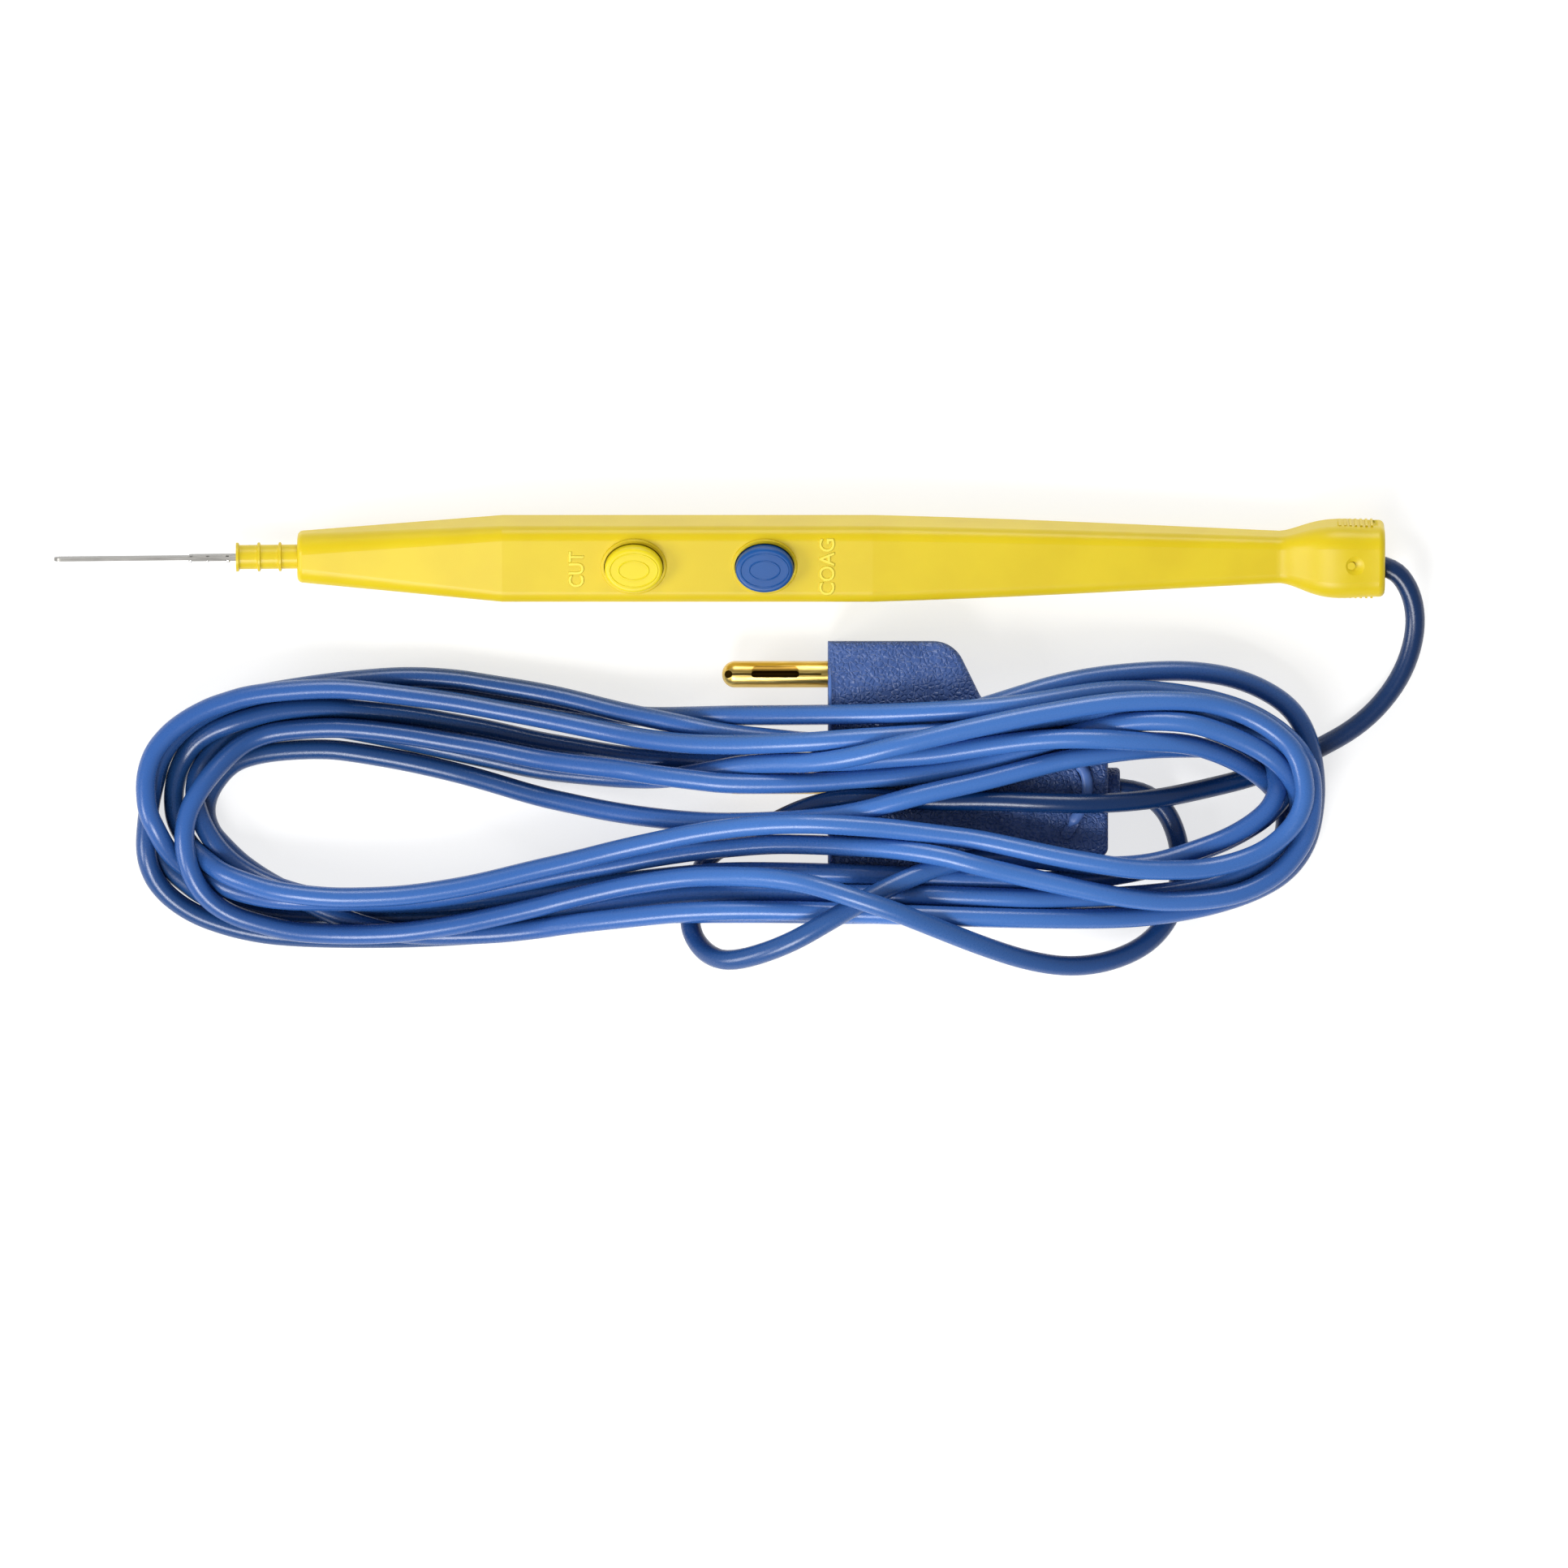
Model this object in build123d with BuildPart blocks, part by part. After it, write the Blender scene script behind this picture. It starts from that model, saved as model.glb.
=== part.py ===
from build123d import *
import os
from math import cos, sin, tan, radians, degrees, pi

os.makedirs("parts", exist_ok=True)

# Driving sizes of the handle, in millimetres
nose_length = 31.6
grip_length = 57.0
taper_length = 62.0
flare_length = 9.6
bell_length = 7.2
electrode_out = 37.5
wall = 1.3
slip = 0.05
cut_over = 1.0

nose_wide = 7.6
nose_high = 7.2
nose_round = 2.8
nose_drop = 1.2
grip_wide = 12.0
grip_high = 11.0
grip_round = 2.0
waist_wide = 7.4
waist_high = 7.2
waist_round = 1.75
waist_drop = 1.0
bell_wide = 11.3
bell_high = 10.6
bell_round = 3.0
rear_narrowing = 0.2
seam_drop = 3.0

# The handle lies rolled about its long axis, so the button face leans to one side
roll = 14.0
lean = 0.6

# Cord and plug sizes
cord_d = 3.1
plug_thick = 11.0
plug_wide = 43.0
plug_long = 43.1
plug_x = 16.75
plug_y = -34.25

# Stations along the handle, from the middle of the pencil's whole length
handle_length = nose_length + grip_length + taper_length + flare_length + bell_length
nose_x = electrode_out - (handle_length + electrode_out) / 2
shoulder_x = nose_x + nose_length
grip_end_x = shoulder_x + grip_length
waist_x = grip_end_x + taper_length
bell_x = waist_x + flare_length
rear_x = bell_x + bell_length
grip_top = grip_high / 2
cord_r = cord_d / 2

# Height of the handle's axis when its lowest rounded corner touches the table
flat_wide = grip_wide - 2 * grip_round
flat_high = grip_high - 2 * grip_round
axis_height = (flat_wide * sin(radians(roll)) + flat_high * cos(radians(roll))) / 2 + grip_round
handle = Plane(
    origin=(0, 0, axis_height),
    x_dir=(1, 0, 0),
    z_dir=(0, -sin(radians(roll)), cos(radians(roll))),
)


def at(x, y, z):
    """Point of the table's frame at handle place x along, y across and z up through the buttons."""
    return handle.from_local_coords((x, y, z))


def across(x, lift=0, aside=0):
    """Plane square to the handle at station x, its own y pointing up through the button face."""
    return Plane(origin=at(x, aside, lift), x_dir=handle.y_dir, z_dir=handle.x_dir)


def upright(x, lift=0):
    """Plane along the handle at station x, its own y pointing up through the button face."""
    return Plane(origin=at(x, 0, lift), x_dir=handle.x_dir, z_dir=-handle.y_dir)


# Shares of the way down from the grip to the waist, and up from the waist to the bell
taper_places = (0.37, 0.74)
taper_shares = (0.30, 0.70)
flare_places = (0.24, 0.52, 0.78)
flare_shares = (0.14, 0.60, 0.91)
full_bell_share = 0.22


def between(low, high, share):
    """Section that lies a share of the way from one station's sizes to the next."""
    return tuple(a + (b - a) * share for a, b in zip(low, high))


grip_sizes = (grip_wide, grip_high, grip_round, 0)
waist_sizes = (waist_wide, waist_high, waist_round, waist_drop)
bell_sizes = (bell_wide, bell_high, bell_round, 0)
rear_sizes = (bell_wide - rear_narrowing, bell_high - rear_narrowing, bell_round, 0)

nose_zone = [
    (nose_x, (nose_wide, nose_high, nose_round, nose_drop)),
    (shoulder_x, grip_sizes),
]
grip_zone = [
    (shoulder_x, grip_sizes),
    (grip_end_x, grip_sizes),
]
taper_zone = [(grip_end_x, grip_sizes)]
for place, share in zip(taper_places, taper_shares):
    taper_zone.append((grip_end_x + taper_length * place, between(grip_sizes, waist_sizes, share)))
taper_zone.append((waist_x, waist_sizes))
flare_zone = [(waist_x, waist_sizes)]
for place, share in zip(flare_places, flare_shares):
    flare_zone.append((waist_x + flare_length * place, between(waist_sizes, bell_sizes, share)))
flare_zone.append((bell_x + bell_length * full_bell_share, bell_sizes))
flare_zone.append((rear_x, rear_sizes))


def handle_form(inset):
    """Whole outer form of the handle, lofted through its sections, its skin moved in by inset."""
    with BuildPart() as form:
        for zone in (nose_zone, grip_zone, taper_zone, flare_zone):
            for x, (wide, high, rounding, drop) in zone:
                with BuildSketch(across(x, -drop)):
                    RectangleRounded(wide - 2 * inset, high - 2 * inset, rounding - inset)
            loft(ruled=len(zone) == 2)
    return form.part


# Electrode, sleeve and socket share one axis, which leans a little in the nose
tip_dir = handle.x_dir * -cos(radians(lean)) + handle.y_dir * -sin(radians(lean))
tip = Plane(origin=at(nose_x, 0, -nose_drop), x_dir=handle.z_dir, z_dir=tip_dir)
tip_axis = Axis(tip.origin, tip.z_dir)
tip_profile = Plane(origin=tip.origin, x_dir=tip.z_dir, z_dir=tip.y_dir)

shaft_d = 2.36
socket_bore_d = 2.42
socket_d = 4.4
socket_length = 20.0
sleeve_d = 3.75
sleeve_seat = 7.5
sleeve_play = 0.08
shaft_end_gap = 3.0
recess_depth = 8.0
nose_block = 29.0
nose_fillet = 0.9
rear_fillet = 0.9
rear_wall = 2.0

# Buttons, their collars and what lies under them
cut_back = 20.25
button_pitch = 20.1
cut_x = shoulder_x + cut_back
coag_x = cut_x + button_pitch
rim_long = 10.1
rim_wide = 8.7
rim_high = 0.35
rim_root = 0.4
rim_fillet = 0.2
opening_long = 9.2
opening_wide = 7.5
button_play = 0.18
button_proud = 1.9
button_top_long = 8.0
button_top_wide = 5.9
button_edge = 0.3
ring_sizes = ((6.9, 4.9), (4.6, 2.9))
ring_line = 0.22
ring_high = 0.12
ring_root = 0.1
flange_over = 0.55
flange_thick = 0.7
stem_d = 3.2
travel = 0.6
board_thick = 1.0
board_top = 0.6
board_margin = 6.5
board_wide = 8.0
dome_d = 6.0
dome_high = 0.7
dome_sheet = 0.12
seal_d = 8.0
seal_sheet = 0.3
seal_rim = 0.9
touch_gap = 0.03

# Gate mark and side ribs of the bell
gate_share = 0.38
gate_r = 1.6
gate_deep = 0.45
nub_r = 0.6
nub_high = 0.3
nub_shift = 0.75
rib_count = 7
rib_pitch = 0.82
rib_wide = 0.36
rib_tall = 4.6
rib_proud = 0.12
rib_root = 0.5

# Cord exit of the handle
exit_aside = -0.6
exit_lift = 0.6
cord_hole_play = 0.3
clamp_length = 2.4
clamp_wall = 0.8
jacket_inside = 4.6

skin = handle_form(0)
core = handle_form(wall)

board_front_x = cut_x - board_margin
board_rear_x = coag_x + board_margin
board_under = board_top - board_thick
bell_top = bell_high / 2
gate_x = bell_x + bell_length * gate_share
gate_ball = (gate_r ** 2 + gate_deep ** 2) / (2 * gate_deep)
exit_point = at(rear_x, exit_aside, exit_lift)
jacket_end_x = rear_x - jacket_inside

# Cavity of the handle, between the nose block and the rear wall
with BuildPart() as cavity:
    add(core)
    split(bisect_by=across(nose_x + nose_block), keep=Keep.TOP)
    split(bisect_by=across(rear_x - rear_wall), keep=Keep.BOTTOM)

# Both half casings start as the same hollow form
with BuildPart() as casing:
    add(skin)
    fillet(casing.faces().sort_by(Axis.X)[0].edges(), nose_fillet)
    fillet(casing.faces().sort_by(Axis.X)[-1].edges(), rear_fillet)
    add(cavity.part, mode=Mode.SUBTRACT)
    with BuildSketch(tip.offset(cut_over)):
        Circle(sleeve_d / 2 + sleeve_play)
    extrude(amount=-(recess_depth + cut_over), mode=Mode.SUBTRACT)
    with BuildSketch(tip.offset(-recess_depth)):
        Circle(socket_d / 2)
    extrude(amount=-(nose_block - recess_depth + cut_over), mode=Mode.SUBTRACT)
    with BuildSketch(across(rear_x + cut_over, exit_lift, exit_aside)):
        Circle(cord_r + cord_hole_play)
    extrude(amount=-(rear_wall + 2 * cut_over), mode=Mode.SUBTRACT)

# Upper casing: button face, collars, openings, gate mark and side ribs
with BuildPart() as upper_housing:
    add(casing.part)
    split(bisect_by=handle.offset(-seam_drop), keep=Keep.TOP)
    with BuildSketch(handle.offset(grip_top - rim_root)):
        with Locations((cut_x, 0), (coag_x, 0)):
            Ellipse(rim_long / 2, rim_wide / 2)
    extrude(amount=rim_root + rim_high)
    rim_tops = upper_housing.faces().sort_by(Axis(handle.origin, handle.z_dir))[-2:]
    fillet(rim_tops.edges(), rim_fillet)
    with BuildSketch(handle.offset(grip_top + rim_high)):
        with Locations((cut_x, 0), (coag_x, 0)):
            Ellipse(opening_long / 2, opening_wide / 2)
    extrude(amount=-(wall + rim_high + cut_over), mode=Mode.SUBTRACT)
    with Locations(at(gate_x, 0, bell_top + gate_ball - gate_deep)):
        Sphere(gate_ball, mode=Mode.SUBTRACT)
    with BuildSketch(handle.offset(bell_top - gate_deep - rib_root)):
        with Locations((gate_x - nub_shift, 0)):
            Circle(nub_r)
    extrude(amount=rib_root + nub_high)
    for side in (1, -1):
        flank = Plane(
            origin=at(gate_x, side * (bell_wide / 2 - rib_root), 0),
            x_dir=handle.x_dir,
            z_dir=handle.y_dir * side,
        )
        with BuildSketch(flank):
            with GridLocations(rib_pitch, 0, rib_count, 1):
                Rectangle(rib_wide, rib_tall)
        extrude(amount=rib_root + rib_proud)

# Lower casing: underside tray with posts for the board and a saddle for the clamp
post_d = 2.2
post_inset = 2.2
post_aside = 2.4
saddle_wide = 4.0
cavity_floor = -(grip_high / 2 - wall)
bell_floor = -(bell_high / 2 - wall)
clamp_r = cord_r + clamp_wall
clamp_x = jacket_end_x + slip
with BuildPart() as lower_housing:
    add(casing.part)
    split(bisect_by=handle.offset(-seam_drop), keep=Keep.BOTTOM)
    with BuildSketch(handle.offset(cavity_floor - rib_root)):
        with Locations(*[(x, y)
                         for x in (board_front_x + post_inset, board_rear_x - post_inset)
                         for y in (-post_aside, post_aside)]):
            Circle(post_d / 2)
    extrude(amount=board_under - cavity_floor + rib_root)
    with BuildSketch(handle.offset(bell_floor - rib_root)):
        with Locations((clamp_x + clamp_length / 2, exit_aside)):
            Rectangle(clamp_length, saddle_wide)
    extrude(amount=exit_lift - bell_floor + rib_root)
    with BuildSketch(across(clamp_x - cut_over, exit_lift, exit_aside)):
        Circle(clamp_r)
    extrude(amount=clamp_length + 2 * cut_over, mode=Mode.SUBTRACT)


def make_button(x):
    """Oval push button: retaining flange, tapered cap with two fine ridges, and a round stem."""
    base_long = opening_long - 2 * button_play
    base_wide = opening_wide - 2 * button_play
    flange_top = grip_top - wall - slip
    cap_foot = grip_top + rim_high
    cap_top = cap_foot + button_proud
    stem_end = board_top + dome_high + seal_sheet + 2 * touch_gap
    with BuildPart() as button:
        with BuildSketch(handle.offset(flange_top)):
            with Locations((x, 0)):
                Ellipse(opening_long / 2 + flange_over, opening_wide / 2 + flange_over)
        extrude(amount=-flange_thick)
        with BuildSketch(handle.offset(flange_top)):
            with Locations((x, 0)):
                Ellipse(base_long / 2, base_wide / 2)
        extrude(amount=cap_foot - flange_top)
        with BuildSketch(handle.offset(cap_foot)):
            with Locations((x, 0)):
                Ellipse(base_long / 2, base_wide / 2)
        with BuildSketch(handle.offset(cap_top)):
            with Locations((x, 0)):
                Ellipse(button_top_long / 2, button_top_wide / 2)
        loft()
        up = Axis(handle.origin, handle.z_dir)
        fillet(button.faces().sort_by(up)[-1].edges(), button_edge)
        for ring_long, ring_wide in ring_sizes:
            with BuildSketch(handle.offset(cap_top - ring_root)):
                with Locations((x, 0)):
                    Ellipse(ring_long / 2, ring_wide / 2)
                    Ellipse(ring_long / 2 - ring_line, ring_wide / 2 - ring_line, mode=Mode.SUBTRACT)
            extrude(amount=ring_root + ring_high)
        with BuildSketch(handle.offset(stem_end)):
            with Locations((x, 0)):
                Circle(stem_d / 2)
        extrude(amount=flange_top - flange_thick - stem_end)
    return button.part


def make_dome(x):
    """Snap dome: a thin spherical cap of sheet metal that stands on the board."""
    ball = ((dome_d / 2) ** 2 + dome_high ** 2) / (2 * dome_high)
    inner_r = dome_d / 2 - dome_sheet
    inner_high = dome_high - dome_sheet
    inner_ball = (inner_r ** 2 + inner_high ** 2) / (2 * inner_high)
    with BuildPart() as dome:
        with BuildSketch(upright(x, board_top)):
            with BuildLine():
                RadiusArc((0, dome_high), (dome_d / 2, 0), ball)
                Line((dome_d / 2, 0), (inner_r, 0))
                RadiusArc((inner_r, 0), (0, inner_high), -inner_ball)
                Line((0, inner_high), (0, dome_high))
            make_face()
        revolve(axis=Axis(at(x, 0, board_top), handle.z_dir))
    return dome.part


def make_seal(x):
    """Rubber seal over a dome: a foot ring on the board and a low conical cap."""
    foot = seal_d / 2 - seal_rim
    crown = board_top + dome_high + touch_gap
    with BuildPart() as seal:
        with BuildSketch(upright(x)):
            with BuildLine():
                Polyline(
                    (0, crown),
                    (stem_d / 2, crown),
                    (foot, board_top),
                    (seal_d / 2, board_top),
                    (seal_d / 2, board_top + seal_sheet),
                    (foot + seal_sheet, board_top + seal_sheet),
                    (stem_d / 2, crown + seal_sheet),
                    (0, crown + seal_sheet),
                    close=True,
                )
            make_face()
        revolve(axis=Axis(at(x, 0, 0), handle.z_dir))
    return seal.part


# Switch board: a strip of circuit board with wire notches at its rear end
notch_r = 0.5
notch_pitch = 2.2
with BuildPart() as switch_board:
    with BuildSketch(handle.offset(board_under)):
        with Locations(((board_front_x + board_rear_x) / 2, 0)):
            Rectangle(board_rear_x - board_front_x, board_wide)
        with Locations((board_rear_x, notch_pitch / 2), (board_rear_x, -notch_pitch / 2)):
            Circle(notch_r, mode=Mode.SUBTRACT)
    extrude(amount=board_thick)

# Electrode socket: split brass tube with a crimp tail, seated in the nose block
socket_slot = 0.5
socket_slot_share = 0.5
tail_length = 5.0
tail_d = 3.0
with BuildPart() as electrode_socket:
    with BuildSketch(tip.offset(-recess_depth)):
        Circle(socket_d / 2)
    extrude(amount=-socket_length)
    with BuildSketch(tip.offset(-recess_depth - socket_length)):
        Circle(tail_d / 2)
    extrude(amount=-tail_length)
    with BuildSketch(tip.offset(-recess_depth + cut_over)):
        Circle(socket_bore_d / 2)
    extrude(amount=-(socket_length - shaft_end_gap / 2 + cut_over), mode=Mode.SUBTRACT)
    with BuildSketch(tip.offset(-recess_depth + cut_over)):
        Rectangle(socket_d + cut_over, socket_slot)
        Rectangle(socket_slot, socket_d + cut_over)
    extrude(amount=-(socket_length * socket_slot_share + cut_over), mode=Mode.SUBTRACT)

# Blade electrode: round shaft, thicker root with three stamped notches, and a flat blade
blade_length = 20.8
blade_wide = 2.4
blade_thick = 0.5
blade_tip_r = 1.15
root_thick = 0.85
root_notch = 0.45
root_notch_deep = 0.2
root_notch_shares = (0.18, 0.60, 0.95)
blade_twist = -6.0
flange_front = 9.45
shaft_inside = recess_depth + socket_length - shaft_end_gap
root_end = electrode_out - blade_length
blade_normal = (
    tip.y_dir * cos(radians(blade_twist)) + tip.x_dir * sin(radians(blade_twist))
)
blade_plane = Plane(origin=tip.origin, x_dir=tip.z_dir, z_dir=blade_normal)
with BuildPart() as blade_electrode:
    with BuildSketch(tip.offset(-shaft_inside)):
        Circle(shaft_d / 2)
    extrude(amount=shaft_inside + flange_front)
    with BuildSketch(blade_plane) as blade_outline:
        with Locations(((flange_front + electrode_out) / 2, 0)):
            Rectangle(electrode_out - flange_front, blade_wide)
        fillet(blade_outline.vertices().group_by(Axis.X)[-1], blade_tip_r)
    extrude(amount=blade_thick / 2, both=True)
    with BuildSketch(blade_plane):
        with Locations(((flange_front + root_end) / 2, 0)):
            Rectangle(root_end - flange_front, blade_wide)
        with Locations(*[(flange_front + (root_end - flange_front) * share, blade_wide / 2)
                         for share in root_notch_shares]):
            Rectangle(root_notch, 2 * root_notch_deep, mode=Mode.SUBTRACT)
    extrude(amount=root_thick / 2, both=True)

# Ribbed insulating sleeve, moulded on the shaft, its rear end seated in the nose
rib_d = 4.5
sleeve_rib = 0.62
sleeve_rib_pitch = 3.25
rib_slope = 0.16
flange_rib = 0.55
rib_tops = [flange_front - flange_rib / 2 - step * sleeve_rib_pitch for step in (1, 2)]
with BuildPart() as electrode_sleeve:
    with BuildSketch(tip_profile):
        with BuildLine():
            Polyline(
                (flange_front, shaft_d / 2),
                (flange_front, rib_d / 2),
                (flange_front - flange_rib + rib_slope, rib_d / 2),
                (flange_front - flange_rib, sleeve_d / 2),
                (-sleeve_seat, sleeve_d / 2),
                (-sleeve_seat, shaft_d / 2),
                close=True,
            )
        make_face()
    revolve(axis=tip_axis)
    for middle in rib_tops:
        with BuildSketch(tip_profile):
            with BuildLine():
                Polyline(
                    (middle - sleeve_rib / 2, (sleeve_d - wall) / 2),
                    (middle - sleeve_rib / 2, sleeve_d / 2),
                    (middle - sleeve_rib / 2 + rib_slope, rib_d / 2),
                    (middle + sleeve_rib / 2 - rib_slope, rib_d / 2),
                    (middle + sleeve_rib / 2, sleeve_d / 2),
                    (middle + sleeve_rib / 2, (sleeve_d - wall) / 2),
                    close=True,
                )
            make_face()
        revolve(axis=tip_axis)

# Clamp ring crimped on the cord inside the bell
with BuildPart() as cord_clamp:
    with BuildSketch(across(clamp_x, exit_lift, exit_aside)):
        Circle(clamp_r)
        Circle(cord_r, mode=Mode.SUBTRACT)
    extrude(amount=clamp_length)


def tube(points, radii, diameter):
    """Round tube along straight runs joined by tangent arcs."""
    with BuildPart() as piece:
        with BuildLine() as path:
            FilletPolyline(*points, radius=radii)
        with BuildSketch(Plane(origin=path.line @ 0, z_dir=path.line % 0)):
            Circle(diameter / 2)
        sweep()
    return piece.part, sum(edge.length for edge in path.line.edges())


def bend_radii(points, share=0.45):
    """Radius of each corner: a share of the shorter run over the tangent of half the turn."""
    radii = []
    spots = [Vector(*point) for point in points]
    for before, corner, after in zip(spots, spots[1:], spots[2:]):
        turn = (corner - before).get_angle(after - corner)
        run = min((corner - before).length, (after - corner).length)
        radii.append(share * run / tan(radians(turn / 2)))
    return radii


def export(part, name):
    """Labels a finished piece and writes its file."""
    part.label = name
    export_step(part, f"parts/{name}.step")


# Wires inside the handle, from the jacket's end to the board and the socket
wire_d = 1.1
wire_r = wire_d / 2
wire_fan = 1.2
wire_low = 2.4
waist_fan_share = 1.1
flare_middle_share = 0.5
wire_gap = 0.05
entry_x = jacket_end_x - wire_gap
waist_middle = -waist_drop
pad_lift = board_top + wire_r + wire_gap
strip_in = 2.0
dip = 6.0
tail_x = nose_x + recess_depth + socket_length + tail_length


def wire_route(side, end_points):
    """Runs one wire from the jacket's end through the waist and on to its end points."""
    start = [
        (entry_x, exit_aside + side * wire_fan, exit_lift),
        (waist_x + flare_length * flare_middle_share, side * wire_fan, 0),
        (waist_x - dip, side * wire_fan * waist_fan_share, waist_middle),
    ]
    return [tuple(at(*spot)) for spot in start + end_points]


wire_ends = {
    "cut_wire": (1, [
        (board_rear_x + 2 * dip, wire_fan, 0),
        (board_rear_x + dip / 2, notch_pitch / 2, pad_lift),
        (board_rear_x - strip_in, notch_pitch / 2 + wire_gap, pad_lift),
    ]),
    "coag_wire": (-1, [
        (board_rear_x + 2 * dip, -wire_fan, 0),
        (board_rear_x + dip / 2, -notch_pitch / 2, pad_lift),
        (board_rear_x - strip_in, -notch_pitch / 2 - wire_gap, pad_lift),
    ]),
    "active_wire": (0, [
        (board_rear_x + 2 * dip, 0, -wire_low / 2),
        (board_rear_x - dip, 0, -wire_low - wire_gap),
        (board_front_x + dip, 0, -wire_low),
        (board_front_x - dip, 0, -wire_low),
        (tail_x + wire_gap, 0, -nose_drop),
    ]),
}
for name, (side, ends) in wire_ends.items():
    route = wire_route(side, ends)
    wire, length = tube(route, bend_radii(route), wire_d)
    export(wire, name)

# Plug: T-shaped block of two shells round three pins
plug_level = Plane(origin=(plug_x, plug_y, 0))
plug_mid = plug_thick / 2
wing_length = 19.3
neck_wide = 23.5
wing_taper = 4.8
wing_round = 5.0
inner_round = 3.0
plug_corner = 1.5
plug_edge = 0.9
plug_wall = 1.8
pin_wall = 6.5
pin_pitch = 16.4
pin_d = 4.1
pin_neck_d = 3.6
pin_out = 16.3
pin_sheet = 0.45
collar_d = 5.6
collar_length = 1.5
collar_setback = 2.0
barrel_d = 3.0
barrel_length = 7.0
window_long = 7.4
window_wide = 1.05
window_from_tip = 8.2
seam_line = 0.22
tip_hole_d = 1.2
tip_hole_setback = 1.0
pin_places = (pin_pitch, 0, -pin_pitch)

boss_aside = -0.85
boss_d = 5.75
boss_out = 1.9
boss_round = 0.6
boss_neck_d = 4.6
boss_flange_d = 6.8
boss_flange = 1.2
boss_play = 0.1
plug_rear_x = plug_x + plug_long


def pin_plane(place):
    """Plane at a pin's foot on the plug's front face, its normal pointing along the pin."""
    return Plane(origin=(plug_x, plug_y + place, plug_mid), x_dir=(0, 1, 0), z_dir=(-1, 0, 0))


boss_plane = Plane(origin=(plug_rear_x, plug_y + boss_aside, plug_mid), x_dir=(0, 1, 0), z_dir=(1, 0, 0))

with BuildPart() as plug_block:
    with BuildSketch(plug_level) as plug_outline:
        with BuildLine():
            Polyline(
                (0, -plug_wide / 2),
                (0, plug_wide / 2),
                (wing_length, plug_wide / 2),
                (wing_length + wing_taper, neck_wide / 2),
                (plug_long, neck_wide / 2),
                (plug_long, -neck_wide / 2),
                (wing_length + wing_taper, -neck_wide / 2),
                (wing_length, -plug_wide / 2),
                close=True,
            )
        make_face()
        columns = plug_outline.vertices().group_by(Axis.X)
        fillet(columns[1], wing_round)
        fillet(plug_outline.vertices().filter_by(
            lambda corner: abs(corner.X - wing_length - wing_taper) < slip), inner_round)
        fillet(plug_outline.vertices().group_by(Axis.X)[-1], plug_corner)
    extrude(amount=plug_thick)
    fillet(plug_block.faces().filter_by(Axis.Z).edges(), plug_edge)
    with BuildSketch(plug_level.offset(plug_wall)):
        add(plug_outline.sketch_local)
        offset(amount=-plug_wall, mode=Mode.REPLACE)
        Rectangle(2 * pin_wall, plug_wide, mode=Mode.SUBTRACT)
    extrude(amount=plug_thick - 2 * plug_wall, mode=Mode.SUBTRACT)
    for place in pin_places:
        foot = pin_plane(place)
        with BuildSketch(foot.offset(cut_over)):
            Circle(pin_neck_d / 2)
        extrude(amount=-(collar_setback + 2 * cut_over), mode=Mode.SUBTRACT)
        with BuildSketch(foot.offset(-collar_setback)):
            Circle(collar_d / 2)
        extrude(amount=-collar_length, mode=Mode.SUBTRACT)
        with BuildSketch(foot.offset(-collar_setback - collar_length)):
            Circle(barrel_d / 2)
        extrude(amount=-(pin_wall - collar_setback - collar_length + cut_over), mode=Mode.SUBTRACT)
    with BuildSketch(boss_plane.offset(cut_over)):
        Circle(boss_neck_d / 2)
    extrude(amount=-(plug_wall + 2 * cut_over), mode=Mode.SUBTRACT)

arc_rib_r = 8.0
arc_rib_wide = 1.6
arc_rib_high = 0.4
arc_rib_x = 30.6
arc_rib_y = -3.0
arc_rib_from = 35.0
arc_rib_turn = -75.0
with BuildPart() as plug_cover:
    add(plug_block.part)
    split(bisect_by=plug_level.offset(plug_mid), keep=Keep.TOP)
    with BuildSketch(plug_level.offset(plug_thick)):
        with BuildLine():
            outer_arc = CenterArc((arc_rib_x, arc_rib_y), arc_rib_r + arc_rib_wide / 2, arc_rib_from, arc_rib_turn)
            inner_arc = CenterArc((arc_rib_x, arc_rib_y), arc_rib_r - arc_rib_wide / 2, arc_rib_from, arc_rib_turn)
            Line(outer_arc @ 0, inner_arc @ 0)
            Line(outer_arc @ 1, inner_arc @ 1)
        make_face()
        with Locations((outer_arc @ 0 + inner_arc @ 0) / 2, (outer_arc @ 1 + inner_arc @ 1) / 2):
            Circle(arc_rib_wide / 2)
    extrude(amount=arc_rib_high)

with BuildPart() as plug_base:
    add(plug_block.part)
    split(bisect_by=plug_level.offset(plug_mid), keep=Keep.BOTTOM)

with BuildPart() as plug_grommet:
    with BuildSketch(boss_plane):
        Circle(boss_d / 2)
    extrude(amount=boss_out)
    fillet(plug_grommet.faces().sort_by(Axis.X)[-1].edges(), boss_round)
    with BuildSketch(boss_plane):
        Circle(boss_neck_d / 2)
    extrude(amount=-plug_wall)
    with BuildSketch(boss_plane.offset(-plug_wall)):
        Circle(boss_flange_d / 2)
    extrude(amount=-boss_flange)
    with BuildSketch(boss_plane.offset(boss_out + cut_over)):
        Circle(cord_r + boss_play)
    extrude(amount=-(boss_out + plug_wall + boss_flange + 2 * cut_over), mode=Mode.SUBTRACT)


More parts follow.
